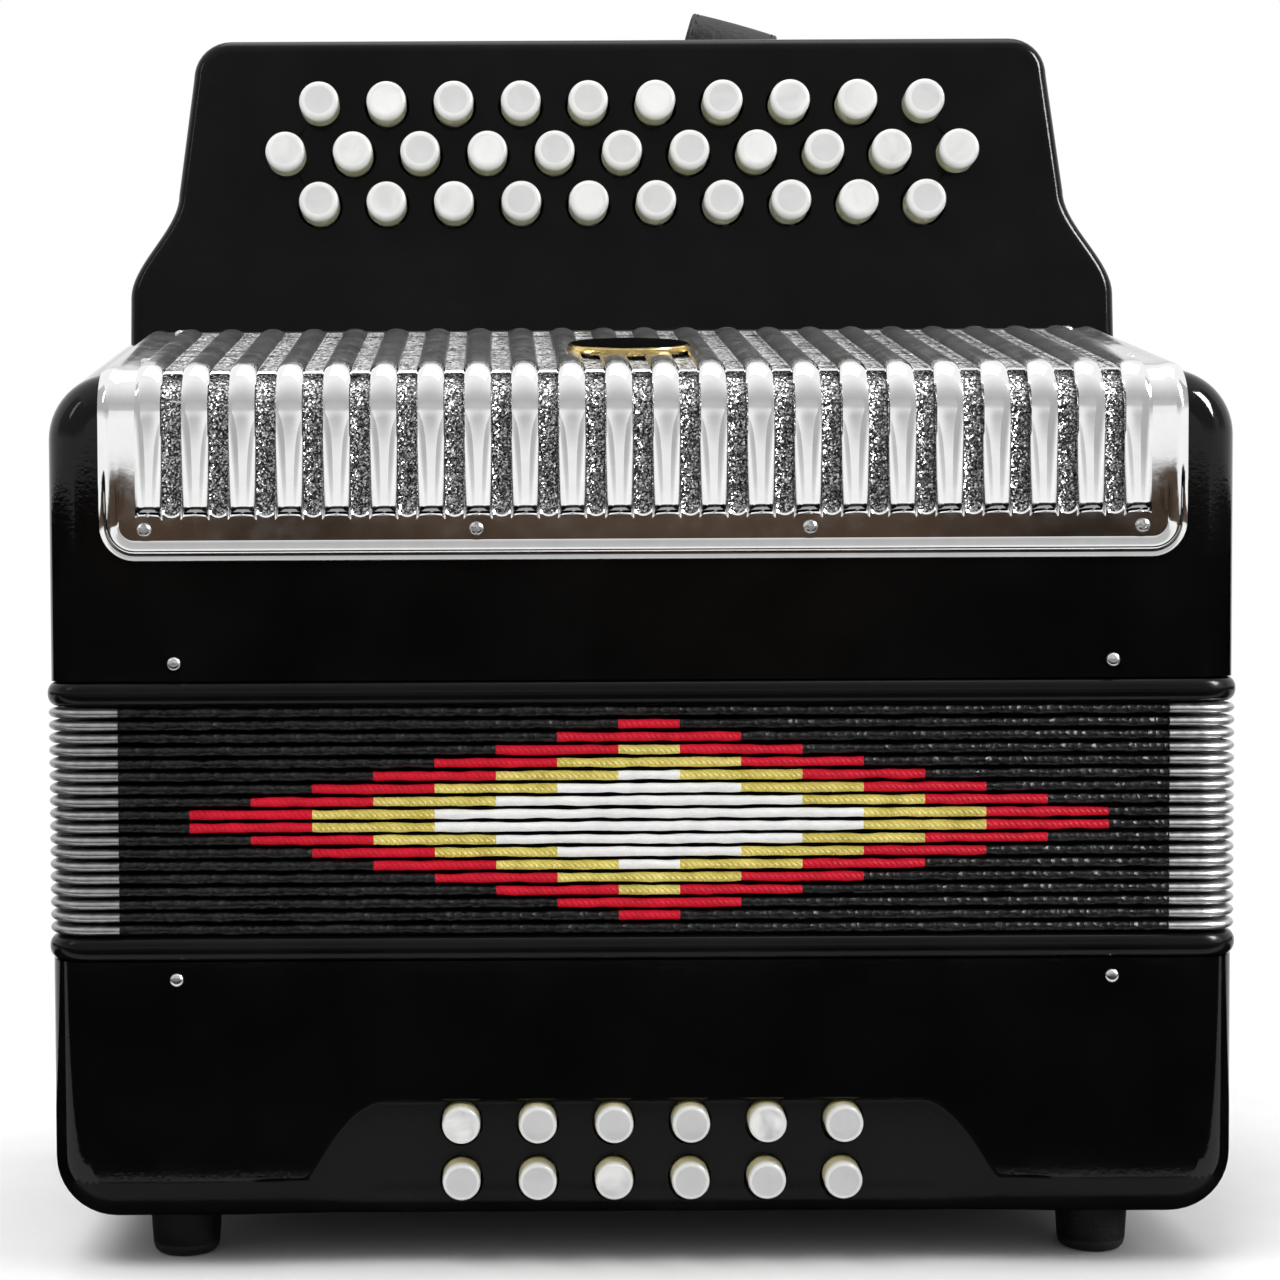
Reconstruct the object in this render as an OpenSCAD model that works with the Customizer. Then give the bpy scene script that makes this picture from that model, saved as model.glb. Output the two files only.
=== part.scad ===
// Three-row diatonic button accordion with 31 treble keys and 12 bass keys.
// It stands on its bass end: X runs along the button rows, Y runs from the grille side to the
// player's side and Z runs up from the feet to the fingerboard. Lengths are in millimetres.

/* [Casings] */
// Width of both casings along the button rows
body_w = 305; // [295:1:320]
// Depth of both casings from grille side to player's side
body_d = 170; // [164:1:185]
// Wall of both casings
wall = 5; // [4:0.25:6]
// Radius of the upright edges and of the edges round the bass end
edge_r = 10.5; // [8:0.5:12]
// Height of the bass casing
bass_h = 67.5; // [66:0.5:76]
// Height of the treble casing at its front, up to the bend
treble_h = 77; // [75:0.5:84]
// Height that the sloping top gains from the bend to the fingerboard
slope_rise = 19.5; // [17:0.5:22]
// Radius of the bend between the front and the sloping top
bend_r = 11; // [9:0.5:14]
// Radius of the treble shoulders, seen from the front
shoulder_r = 17; // [14:0.5:20]
// Radius of the lower corners of the bass end, seen from the front
bass_corner_r = 16; // [13:0.5:19]
// How far the opening under the grille stays inside the outermost slots
window_margin = 2.5; // [1.5:0.25:4]
// How far that opening reaches under the fingerboard
window_reach = 28; // [24:0.5:31]

/* [Feet] */
// Height of the rubber feet
foot_h = 14; // [12:0.5:16]
// Radius of a foot where it meets the casing
foot_r = 9.6; // [8:0.2:11]
// How much a foot narrows towards the floor
foot_taper = 0.7; // [0.2:0.1:1.5]
// Distance of the feet from the sides of the casing
foot_side = 31.5; // [30:0.5:40]
// Distance of the feet from the front and back of the casing
foot_end = 27; // [24:0.5:34]

/* [Bellows] */
// Number of folds
folds = 18; // [14:1:20]
// Height of one closed fold
fold_pitch = 3.27; // [3:0.01:3.6]
// Height of the ridge of a closed fold
ridge_h = 2.5; // [2:0.1:2.8]
// Depth of the groove between two ridges
groove_depth = 2.5; // [1.5:0.1:4]
// Depth of a fold from its ridge to the inside
fold_depth = 21; // [16:0.5:24]
// Sheet of a metal corner cap
cap_t = 0.6; // [0.4:0.1:0.8]
// How far a corner cap reaches along each side
cap_reach = 17; // [14:0.5:22]

/* [Bellows frames] */
// Height of the rounded frame that shows between casing and bellows
frame_h = 6.5; // [5:0.25:8]
// How far a frame stands proud of the casing
frame_proud = 1; // [0.5:0.1:1.2]
// Width of a frame from its outside to the opening of the bellows
frame_w = 26; // [24:0.5:30]
// Height of the lip that enters the casing
lip_h = 7.5; // [7:0.25:8]
// Thickness of that lip
lip_t = 6; // [5:0.25:7]

/* [Fingerboard] */
// Distance of the fingerboard from the back of the casing
board_back = 32; // [29:0.5:36]
// Height of the fingerboard above the casing
board_h = 87; // [85:0.5:92]
// Thickness of the fingerboard from front to back
board_t = 45; // [42:0.5:50]
// Lean of the fingerboard towards the player, in degrees
board_lean = 5.5; // [3:0.25:7]
// Half width of the fingerboard at its base
base_half = 144; // [141:0.5:146]
// Half width where the curved flank ends
waist_half = 130; // [127:0.5:134]
// Half width at the top edge
top_half = 124.3; // [121:0.5:127]
// Height at which the curved flank starts
flank_low = 12.5; // [10:0.5:14]
// Height at which the curved flank ends
flank_high = 43; // [39:0.5:47]
// Radius of the two top corners
board_corner_r = 7; // [6:0.5:10]
// Front plate that the buttons pass through
plate_t = 4; // [3:0.25:4.5]
// Side walls and back of the fingerboard
board_wall = 3.5; // [3:0.25:4.5]

/* [Treble keys] */
// Distance between neighbouring buttons of a row, also on the bass side
button_pitch = 19.6; // [19:0.1:20]
// Distance between the button rows
row_pitch = 14.8; // [14.2:0.1:15.2]
// Height of the lowest row above the foot of the fingerboard
first_row_h = 38.7; // [37:0.1:40]
// Radius of a treble button
button_r = 5.8; // [5.2:0.1:6]
// How far a treble button stands out of the fingerboard
button_out = 7; // [6:0.25:7.5]
// Depth that a treble button is pressed
button_travel = 4; // [3:0.25:4.5]
// Thickness of a lever
lever_t = 2; // [1.5:0.1:2.2]
// Width of a lever's arms
lever_w = 5; // [4:0.25:5.5]
// Sideways step of the levers of the outer rows
lever_step = 1.8; // [1.6:0.1:2]
// Distance of the key axle below the foot of the fingerboard
axle_drop = 8; // [7.5:0.25:9]
// Radius of both key axles
axle_r = 1.5; // [1.2:0.1:1.8]
// Reach of the shortest lever from axle to pallet
first_reach = 28; // [26:0.5:30]
// Distance between the pallet rows
pallet_pitch = 17; // [16:0.25:18]
// Length of a treble pallet
pallet_l = 13; // [11:0.5:14]
// Width of a treble pallet
pallet_w = 9; // [7:0.5:9.2]
// How far every pallet laps over the edges of its hole
pallet_lap = 1.5; // [1:0.1:2]
// Wall of a treble lever's hub round the axle
hub_wall = 2.6; // [2:0.1:3]
// Room between the front plate and the levers
lever_room = 4; // [3.5:0.25:5]
// Room between the levers of the top row and a button pressed in front of them
top_arm_room = 1.5; // [1:0.25:2]
// Height of the treble axle above its soundboard
deck_drop = 42.5; // [41:0.5:44]

/* [Bass keys] */
// Radius of a bass button
bass_button_r = 4.9; // [4.4:0.1:5.2]
// How far a bass button stands out of its recess
bass_button_out = 5.5; // [4.5:0.25:5.75]
// Depth that a bass button is pressed
bass_travel = 3; // [2:0.25:3]
// Height of the lower bass row above the bottom of the casing
bass_first_row_h = 11; // [10.5:0.25:12]
// Distance between the two bass rows
bass_row_pitch = 15; // [14.5:0.25:15.5]
// Sideways place of the bass buttons and their recess
bass_shift = 2; // [0:0.5:4]
// Height of the bass axle above the upper bass row
bass_axle_rise = 22; // [21:0.5:23]
// Width of a bass lever's arms
bass_lever_w = 4; // [3:0.25:4.25]
// Width of a bass pallet
bass_pallet_w = 8.4; // [7:0.2:8.8]
// Height of a bass pallet
bass_pallet_h = 10; // [8:0.5:10.5]
// Height of the bass pallets above the bass axle
bass_pallet_rise = 11; // [10:0.25:11.5]
// Wall of a bass lever's hub round the axle
bass_hub_wall = 2; // [1.6:0.1:2.4]
// Room between a bass hub and the front wall
bass_hub_gap = 0.5; // [0.4:0.1:0.8]
// Room between the wall of the recess and the bass levers
bass_lever_room = 2.5; // [2:0.25:3]
// Room between the levers of the lower row and a button pressed in front of them
low_arm_room = 1.6; // [1.2:0.1:2]
// Distance of the bass soundboard behind the bass axle
bass_deck_gap = 22; // [20:0.5:24]

/* [Finger recess] */
// Depth of the finger recess in the front of the bass end
recess_depth = 4.5; // [3.5:0.25:5]
// Wall behind the recess
recess_wall = 4; // [3:0.25:4.5]
// Half width of the recess at the bottom
recess_low_half = 91; // [86:0.5:96]
// Half width of the recess at the top
recess_top_half = 68; // [66:0.5:72]
// Height of the recess above the bottom of the casing
recess_h = 32; // [31:0.5:34]
// Height at which the flared sides of the recess start
recess_flare_h = 11.7; // [9:0.5:14]
// How far the wall behind the recess runs on above it
recess_margin = 5; // [4:0.25:6]

/* [Grille] */
// Width of the grille
grille_w = 279; // [274:1:284]
// Height of the grille on the front, below the bend
grille_drop = 46.5; // [45:0.5:50]
// Radius of its lower corners
grille_corner_r = 9.5; // [7:0.5:12]
// Sheet of the grille
grille_t = 1.2; // [1:0.1:2]
// How far the bars between the slots stand up
bar_rise = 1.5; // [1:0.1:2]
// Number of slots
slots = 21; // [15:2:21]
// Distance between the slots
slot_pitch = 11.95; // [11:0.05:12]
// Width of a slot
slot_w = 4.7; // [3.5:0.1:5.5]
// Height of the slots' lower ends above the lower edge of the grille
slot_rise = 11.5; // [10.5:0.5:13]
// Distance of the slots' upper ends from the back edge of the grille
slot_back_gap = 4; // [3:0.25:6]
// Width of the flat edge between a slot and its bar
bar_edge_w = 0.4; // [0.2:0.05:0.8]
// Width of the crossbars in the slots
crossbar = 1.6; // [1.2:0.1:2]
// Distance of the first crossbar behind the front
crossbar_near = 8.8; // [8:0.1:10]
// Distance of the second crossbar behind the front
crossbar_far = 42.8; // [38:0.2:48]
// Distance of the outer front screws from the ends of the grille
grille_screw_edge = 13; // [11:0.5:15]
// Sideways place of the inner front screws
grille_screw_inner = 42.3; // [38:0.1:48]
// Height of the front screws above the lower edge of the grille
grille_screw_rise = 8; // [7:0.25:8.25]
// Distance of the lower slope screws from the bend
slope_screw_near = 19; // [16:0.5:24]
// Distance of the upper slope screws from the fingerboard
slope_screw_far = 6.6; // [5:0.2:10]
// Thickness of the cloth behind the grille
cloth_t = 0.3; // [0.2:0.05:0.5]
// Gap between the casing and the cloth, and between the cloth and the grille
cloth_gap = 0.1; // [0.1:0.05:0.3]
// How far the cloth runs past the opening under it
cloth_margin = 2; // [1.5:0.25:3]

/* [Soundboards] */
// Thickness of both soundboards
soundboard_t = 6; // [5:0.25:7]
// Thickness of a pallet
pallet_t = 4; // [3:0.25:4.5]
// Height of the treble reed blocks
reed_block_h = 32; // [26:0.5:34]
// Thickness of the axle posts
post_t = 3; // [2:0.25:3.5]
// Distance of an inner axle post from the button beside it
post_step = 5.8; // [5.4:0.1:6]
// Number of buttons between the inner axle posts
post_columns = 3; // [2:1:4]
// Distance of the end posts from the outermost treble levers
end_post_gap = 6; // [5:0.25:8]
// Gap between neighbouring reed blocks
block_gap = 2; // [1.5:0.25:3]
// Wood under the chambers of a treble reed block
block_floor = 5; // [4:0.5:6]
// Depth of the bass reed block
bass_block_d = 38; // [34:1:42]
// How far the bass reed block reaches below the bass axle
bass_block_drop = 5; // [4:0.5:7]
// Depth of the chambers of the bass reed block
bass_cell_d = 30; // [26:1:33]
// Walls between the chambers of the bass reed block
cell_wall = 2; // [1.5:0.25:3]
// Gap between the inner bass pieces and the lip of the bass frame
lip_gap = 1; // [0.75:0.25:2]

/* [Straps and brackets] */
// Width of the thumb strap
thumb_w = 28; // [24:0.5:32]
// Leather of both straps
strap_t = 2.5; // [2:0.1:3]
// Free width inside the thumb loop
thumb_gap = 18; // [16:0.5:20]
// Sideways place of the thumb loop
thumb_x = 29; // [24:1:34]
// Sideways tilt of the thumb loop, in degrees
thumb_tilt = 16; // [8:1:20]
// How far the thumb loop stands above the fingerboard
thumb_rise = 25; // [20:0.5:28]
// Length of the thumb loop
thumb_l = 76; // [72:1:82]
// Width of the hand strap
hand_w = 50; // [44:1:60]
// Half the length of the hand strap
hand_half = 106; // [100:1:108]
// Room between the hand strap and the bottom of the bass end
hand_gap = 5; // [4.5:0.1:5.5]
// Length of a fastened end of the hand strap
hand_end = 12; // [11:0.5:14]
// Length of the slope beside it
hand_ramp = 14; // [12:0.5:18]
// Thickness of a shoulder strap bracket
bracket_t = 3; // [2:0.25:4]
// Radius of the hole in a shoulder strap bracket
bracket_hole_r = 3; // [2:0.25:3.5]
// Distance of the shoulder strap brackets from the sides of the casing
bracket_side = 24.5; // [20:0.5:30]
// Rim of a bracket round its hole
bracket_rim = 4; // [3:0.25:5]
// Thickness of a bracket's foot
bracket_base_t = 2; // [1.5:0.25:2.5]
// Width of a bracket's foot
bracket_base_w = 18; // [16:0.5:20]
// Distance of the brackets from the rounded rear edge
bracket_back_gap = 2; // [1:0.25:3]
// Sideways distance of a bracket's screws from its eye
bracket_screw_in = 6; // [5.5:0.25:8]
// Half the distance between a bracket's two screws
bracket_screw_half = 4; // [3:0.25:4.5]

/* [Fasteners and air button] */
// Radius of the heads of screws and bellows pins
head_r = 1.8; // [1.5:0.1:2.2]
// Height of those heads
head_h = 1.2; // [0.8:0.1:1.4]
// Radius of their shanks
shank_r = 1.1; // [0.8:0.1:1.3]
// Distance of the bellows pins from the sides of the casing
pin_side = 33; // [29:0.5:40]
// Distance of the bellows pins from the frames
pin_rise = 4.5; // [3.5:0.25:5]
// Radius of the air button
air_r = 6; // [5:0.25:7]
// Depth that the air button is pressed
air_travel = 3; // [2:0.1:3.2]
// How far the pressed air button still stands out of the back
air_rest = 0.8; // [0.5:0.1:1]
// Distance of the air button from the side of the casing
air_side = 47.5; // [43:0.5:54]
// Height of the air button above the bottom of the casing
air_rise = 28; // [25:0.5:30]
// Rim of the sealing disc round the air hole
air_disc_rim = 5; // [4:0.25:6]
// Thickness of the sealing disc
air_disc_t = 3; // [2:0.25:4]

/* [Hidden] */
// Clearances between pieces
fit = 0.2;
glue_gap = 0.1;
bore_fit = 0.08;
shank_fit = 0.1;
hole_fit = 1;
seat_gap = 0.3;
loose_fit = 0.4;
cap_gap = 0.15;
// Offset that keeps faces of crossing solids from falling together
skin = 0.02;
over = 1;
far = 400;
skirt = 20;
inner_r = 2;
curve_steps = 12;
$fn = 64;

// Stations up the height
bass_z0 = foot_h;
bass_z1 = bass_z0 + bass_h;
bellows_z0 = bass_z1 + frame_h;
bellows_z1 = bellows_z0 + folds * fold_pitch;
treble_z0 = bellows_z1 + frame_h;
bend_z = treble_z0 + treble_h;
board_z = bend_z + slope_rise;

// Stations through the depth
front_y = -body_d / 2;
back_y = body_d / 2;
board_setback = body_d - board_t - board_back;
board_y = front_y + board_setback;
slope_a = atan(slope_rise / board_setback);
slope_len = board_setback / cos(slope_a);

// Treble action: the axle lies under the middle of the front plate
axle_y = board_y + plate_t / 2 * cos(board_lean) - axle_drop * sin(board_lean);
axle_z = board_z - plate_t / 2 * sin(board_lean) - axle_drop * cos(board_lean);
hub_r = axle_r + hub_wall;
row_sizes = [10, 11, 10];
row_steps = [1, 0, -1];
row_starts = [0, 10, 21];
treble_count = 31;
row_heights = [for (r = [0 : 2]) axle_drop + first_row_h + r * row_pitch];
row_reach = [for (r = [0 : 2]) first_reach + r * pallet_pitch];
near_arm = plate_t / 2 + lever_room + lever_w / 2;
far_arm = near_arm + button_travel + top_arm_room;
row_arms = [near_arm, near_arm, far_arm];
deck_z = axle_z - deck_drop;
deck_z0 = deck_z - soundboard_t;
window_half = slots * slot_pitch / 2 - window_margin;
window_back = board_y + window_reach;

// Bass action: the axle lies just behind the front wall, above the recess
bass_rows = [bass_first_row_h, bass_first_row_h + bass_row_pitch];
bass_count = 12;
bass_columns = 6;
bass_hub_r = axle_r + bass_hub_wall;
bass_axle_y = front_y + wall + bass_hub_r + bass_hub_gap;
bass_axle_z = bass_z0 + bass_rows[1] + bass_axle_rise;
recess_y = front_y + recess_depth;
recess_back_y = recess_y + recess_wall;
bass_near_arm = recess_back_y - bass_axle_y + bass_lever_room + bass_lever_w / 2;
bass_far_arm = bass_near_arm + bass_travel + low_arm_room;
bass_arms = [bass_far_arm, bass_near_arm];
bass_steps = [1, -1];
bass_deck_y = bass_axle_y + bass_deck_gap;
bass_pallet_x = button_pitch / 4;

// Feet, pins and screws
foot_x = body_w / 2 - foot_side;
foot_y = body_d / 2 - foot_end;
pin_x = body_w / 2 - pin_side;
treble_pin_z = treble_z0 + pin_rise;
bass_pin_z = bass_z1 - pin_rise;
pin_l = wall + lip_t - over;
hand_screw_x = hand_half - hand_end / 2;
hand_screw_l = strap_t + wall - over;

// Grille and cloth
grille_in = 2 * cloth_gap + cloth_t;
grille_out = grille_in + grille_t;
grille_z0 = bend_z - grille_drop;
grille_back_y = board_y - seat_gap;
grille_screw_x = [grille_w / 2 - grille_screw_edge, grille_screw_inner];
grille_screw_z = grille_z0 + grille_screw_rise;
slope_screw_s = [slope_screw_near, slope_len - slope_screw_far];
grille_screw_l = grille_out + wall - over;
slot_spans = [
    [front_y - far, front_y + crossbar_near],
    [front_y + crossbar_near + crossbar, front_y + crossbar_far],
    [front_y + crossbar_far + crossbar, grille_back_y - slot_back_gap]
];

// Thumb loop
thumb_out_r = thumb_gap / 2 + strap_t;
thumb_v1 = board_h + thumb_rise - thumb_out_r;
thumb_v0 = thumb_v1 - thumb_l + 2 * thumb_out_r;
thumb_u = board_t + fit + thumb_out_r;
thumb_rivet_l = strap_t + board_wall;

// Shoulder strap brackets
bracket_x = body_w / 2 - bracket_side;
bracket_r = bracket_hole_r + bracket_rim;
bracket_y = back_y - edge_r - bracket_r - bracket_back_gap;
bracket_screw_l = wall - over + bracket_base_t;
bracket_z = board_z + fit + bracket_base_t + bracket_r;

// Air button
air_x = body_w / 2 - air_side;
air_z = bass_z0 + air_rise;
air_out = air_travel + air_rest;

// Names of the nodes
function two_digits(n) = str(n < 10 ? "0" : "", n);
treble_names = [for (k = [1 : treble_count]) str("treble_key_", two_digits(k))];
bass_names = [for (k = [1 : bass_count]) str("bass_key_", two_digits(k))];

function smooth(t) = t * t * (3 - 2 * t);
function row_of(k) = k < row_starts[1] ? 0 : k < row_starts[2] ? 1 : 2;
function treble_x(k) =
    let (r = row_of(k), i = k - row_starts[r]) (i - (row_sizes[r] - 1) / 2) * button_pitch;
// The same points on the other side, in the other order
function mirrored(points) =
    [for (i = [len(points) - 1 : -1 : 0]) [-points[i][0], points[i][1]]];
function bass_x(k) = bass_shift + (k % bass_columns - (bass_columns - 1) / 2) * button_pitch;

// Helpers

module along_x(x0, x1) {
    translate([x0, 0, 0]) rotate([90, 0, 90]) linear_extrude(x1 - x0) children();
}

module along_y(y0, y1) {
    translate([0, y1, 0]) rotate([90, 0, 0]) linear_extrude(y1 - y0) children();
}

module rounded_rect(w, d, r) {
    square([w - 2 * r, d], center = true);
    square([w, d - 2 * r], center = true);
    for (sx = [-1, 1], sy = [-1, 1])
        translate([sx * (w / 2 - r), sy * (d / 2 - r)]) circle(r);
}

module body_ring(z0, z1, outset, inset) {
    translate([0, 0, z0]) linear_extrude(z1 - z0) difference() {
        rounded_rect(body_w + 2 * outset, body_d + 2 * outset, edge_r + outset);
        rounded_rect(body_w - 2 * inset, body_d - 2 * inset, max(edge_r - inset, inner_r));
    }
}

module arm(from, to, w) {
    span = to - from;
    translate(from) rotate(atan2(span[1], span[0])) {
        translate([0, -w / 2]) square([norm(span), w]);
        translate([norm(span), 0]) circle(w / 2);
        circle(w / 2);
    }
}

module on_slope() {
    translate([0, front_y, bend_z]) rotate([slope_a, 0, 0]) children();
}

module on_fingerboard() {
    translate([0, board_y, board_z]) rotate([-board_lean, 0, 0]) children();
}

// A screw or pin whose head sits on z = 0 and whose shank runs down
module screw(length) {
    cylinder(h = head_h, r = head_r);
    translate([0, 0, -length]) cylinder(h = length, r = shank_r);
}

module screw_hole(length) {
    translate([0, 0, -length]) cylinder(h = length + over, r = shank_r + shank_fit);
}

// Treble casing: the same block, set in or out, makes shell, grille and cloth

// What rounding takes off a corner: the wedge between two directions, outside an arc about c
module corner_waste(c, a0, a1, r) {
    mid = (a0 + a1) / 2;
    difference() {
        polygon([
            c,
            c + 2 * r * [cos(a0), sin(a0)],
            c + 3 * r * [cos(mid), sin(mid)],
            c + 2 * r * [cos(a1), sin(a1)]
        ]);
        translate(c) circle(r);
    }
}

// The straight sides lie one skin outside the block and the arcs two, so that they cross cleanly
module treble_profile(inset) {
    y0 = front_y + inset - skin;
    y2 = back_y - inset + skin;
    top = board_z - inset + skin;
    lift = (skin - inset) / cos(slope_a);
    y1 = front_y + (top - bend_z - lift) / tan(slope_a);
    near_r = bend_r - inset - skin;
    rear_r = edge_r - inset - skin;
    bend_y = y0 + near_r;
    bend_c = [bend_y, bend_z + (bend_y - front_y) * tan(slope_a) + lift - near_r / cos(slope_a)];
    rear_c = [y2 - rear_r, top - rear_r];
    difference() {
        polygon([
            [y0, bass_z0], [y0, bend_z + (y0 - front_y) * tan(slope_a) + lift],
            [y1, top], [y2, top], [y2, bass_z0]
        ]);
        corner_waste(bend_c, 180, 90 + slope_a, near_r + skin);
        corner_waste(rear_c, 90, 0, rear_r + skin);
    }
}

module shoulder_outline(top, inset) {
    half = body_w / 2 - inset + skin;
    r = shoulder_r - inset;
    translate([-half, top - far]) square([2 * half, far - r]);
    translate([r - half, top - far]) square([2 * (half - r), far]);
    for (s = [-1, 1]) translate([s * (half - r), top - r]) circle(r);
}

// The shoulders follow the slope and the flat top, and keep below both
module treble_shoulders(inset) {
    intersection() {
        on_slope() along_y(-far / 2, far / 2) shoulder_outline(-inset, inset);
        along_y(-far / 2, far / 2) shoulder_outline(board_z - inset, inset);
    }
}

module treble_block(inset, z0) {
    intersection() {
        translate([0, 0, z0]) linear_extrude(far)
            rounded_rect(body_w - 2 * inset, body_d - 2 * inset, edge_r - inset);
        along_x(-body_w, body_w) treble_profile(inset);
        treble_shoulders(inset);
    }
}

module place_bellows_pins(z) {
    for (sx = [-1, 1], turn = [0, 180])
        rotate([0, 0, turn]) translate([sx * pin_x, front_y, z]) rotate([90, 0, 0]) children();
}

module place_grille_screws() {
    for (sx = [-1, 1], x = grille_screw_x)
        translate([sx * x, front_y - grille_out, grille_screw_z]) rotate([90, 0, 0]) children();
    for (sx = [-1, 1], s = slope_screw_s)
        on_slope() translate([sx * (window_half + wall), s, grille_out]) children();
}

module treble_casing() {
    color("#101012") difference() {
        treble_block(0, treble_z0);
        treble_block(wall, treble_z0 - over);
        translate([-window_half, front_y - over, deck_z + over])
            cube([2 * window_half, window_back - front_y + over, far]);
        place_bellows_pins(treble_pin_z) screw_hole(pin_l);
        place_grille_screws() screw_hole(grille_screw_l + over);
        place_brackets() screw_hole(bracket_screw_l + over);
    }
}

// Grille and the cloth behind it

module grille_outline() {
    half = grille_w / 2;
    r = grille_corner_r;
    translate([-half, grille_z0 + r]) square([grille_w, far]);
    translate([r - half, grille_z0]) square([grille_w - 2 * r, far]);
    for (s = [-1, 1]) translate([s * (half - r), grille_z0 + r]) circle(r);
}

module treble_grille() {
    bar_w = slot_pitch - slot_w - 2 * bar_edge_w;
    color("#c9ccd0") difference() {
        union() {
            intersection() {
                difference() {
                    treble_block(-grille_out, bass_z1);
                    treble_block(-grille_in, bass_z0);
                }
                along_y(front_y - far, grille_back_y) grille_outline();
            }
            intersection() {
                difference() {
                    treble_block(-grille_out - bar_rise, bass_z1);
                    treble_block(-grille_in, bass_z0);
                }
                for (i = [1 : slots - 1])
                    translate([(i - slots / 2) * slot_pitch - bar_w / 2, front_y - far,
                        grille_z0 + slot_rise - over])
                        cube([bar_w, far + slot_spans[2][1] - front_y, far]);
            }
        }
        for (i = [0 : slots - 1], span = slot_spans)
            translate([(i - (slots - 1) / 2) * slot_pitch, 0, 0]) along_y(span[0], span[1]) {
                low = grille_z0 + slot_rise + slot_w / 2;
                translate([-slot_w / 2, low]) square([slot_w, far]);
                translate([0, low]) circle(slot_w / 2);
            }
        place_grille_screws() screw_hole(grille_screw_l);
    }
}

module grille_cloth() {
    color("#4a4c50") intersection() {
        difference() {
            treble_block(-cloth_gap - cloth_t, bass_z1);
            treble_block(-cloth_gap, bass_z0);
        }
        translate([-window_half - cloth_margin, front_y - far, grille_screw_z + head_r + loose_fit])
            cube([2 * (window_half + cloth_margin), grille_back_y - front_y + far - over, far]);
    }
}

// Fingerboard

function flank_half(v) =
    v < flank_low ? base_half
    : v < flank_high
        ? base_half + (waist_half - base_half) * smooth((v - flank_low) / (flank_high - flank_low))
        : waist_half + (top_half - waist_half) * (v - flank_high) / (board_h - flank_high);

module board_outline(inset, low) {
    top = board_h - inset;
    r = board_corner_r - inset / 2;
    corner_x = flank_half(top - r) - inset - r;
    flank = [
        for (i = [0 : curve_steps])
            let (v = flank_low + (flank_high - flank_low) * i / curve_steps)
                [flank_half(v) - inset, v]
    ];
    half_side = concat(
        [[base_half - inset, low]], flank, [[corner_x + r, top - r], [corner_x, top]]
    );
    polygon(concat(half_side, mirrored(half_side)));
    for (s = [-1, 1]) translate([s * corner_x, top - r]) circle(r);
}

module on_thumb_loop() {
    on_fingerboard()
        translate([thumb_x, thumb_u, (thumb_v0 + thumb_v1) / 2]) rotate([0, thumb_tilt, 0]) children();
}

module place_thumb_rivet() {
    on_thumb_loop() translate([0, strap_t - thumb_out_r, 0]) rotate([-90, 0, 0]) children();
}

module fingerboard() {
    color("#17171a") difference() {
        on_fingerboard() difference() {
            along_y(0, board_t) board_outline(0, -skirt);
            along_y(plate_t, board_t - board_wall) board_outline(board_wall, -skirt - over);
            for (k = [0 : treble_count - 1])
                translate([treble_x(k), -over, row_heights[row_of(k)] - axle_drop])
                    rotate([-90, 0, 0]) cylinder(h = plate_t + 2 * over, r = button_r + hole_fit);
        }
        along_y(-far, far) shoulder_outline(board_z + glue_gap, -glue_gap);
        place_thumb_rivet() screw_hole(thumb_rivet_l + over);
    }
}

// Treble keys: button, lever and pallet

module treble_lever_outline(r) {
    up = row_heights[r];
    back = row_arms[r];
    reach = row_reach[r];
    foot_z = deck_z + pallet_t + 2 * glue_gap - axle_z;
    difference() {
        union() {
            circle(hub_r);
            rotate(-board_lean) {
                arm([0, 0], [back, 0], lever_w);
                arm([back, 0], [back, up], lever_w);
                translate([back - lever_w / 2, up - lever_w / 2]) square([lever_w, lever_w]);
            }
            arm([0, 0], [-reach, foot_z + 2 * lever_w], lever_w);
            translate([-reach - lever_w / 2, foot_z]) square([lever_w, 2 * lever_w]);
        }
        circle(axle_r + bore_fit);
    }
}

module treble_key(k) {
    r = row_of(k);
    x = treble_x(k);
    back = plate_t / 2 + row_arms[r] - lever_w / 2 - glue_gap;
    color("#f2efe6") on_fingerboard() translate([x, -button_out, row_heights[r] - axle_drop])
        rotate([-90, 0, 0]) cylinder(h = button_out + back, r = button_r);
    color("#8d8f94") translate([x + row_steps[r] * lever_step, axle_y, axle_z])
        along_x(-lever_t / 2, lever_t / 2) treble_lever_outline(r);
    color("#b5793f")
        translate([x - pallet_w / 2, axle_y - row_reach[r] - pallet_l / 2, deck_z + glue_gap])
            cube([pallet_w, pallet_l, pallet_t]);
}

// Treble soundboard with axle posts, and the reed blocks under it

post_x = [for (i = [-1 : 1]) treble_x(4) + i * post_columns * button_pitch + post_step];
end_post_x = (row_sizes[1] - 1) / 2 * button_pitch + end_post_gap;
axle_half = end_post_x + post_t;

module axle_post(x) {
    translate([x - post_t / 2, axle_y - hub_r, deck_z - over])
        cube([post_t, 2 * hub_r, axle_z - deck_z + over]);
    translate([x, axle_y, axle_z]) rotate([0, 90, 0]) cylinder(h = post_t, r = hub_r, center = true);
}

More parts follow.
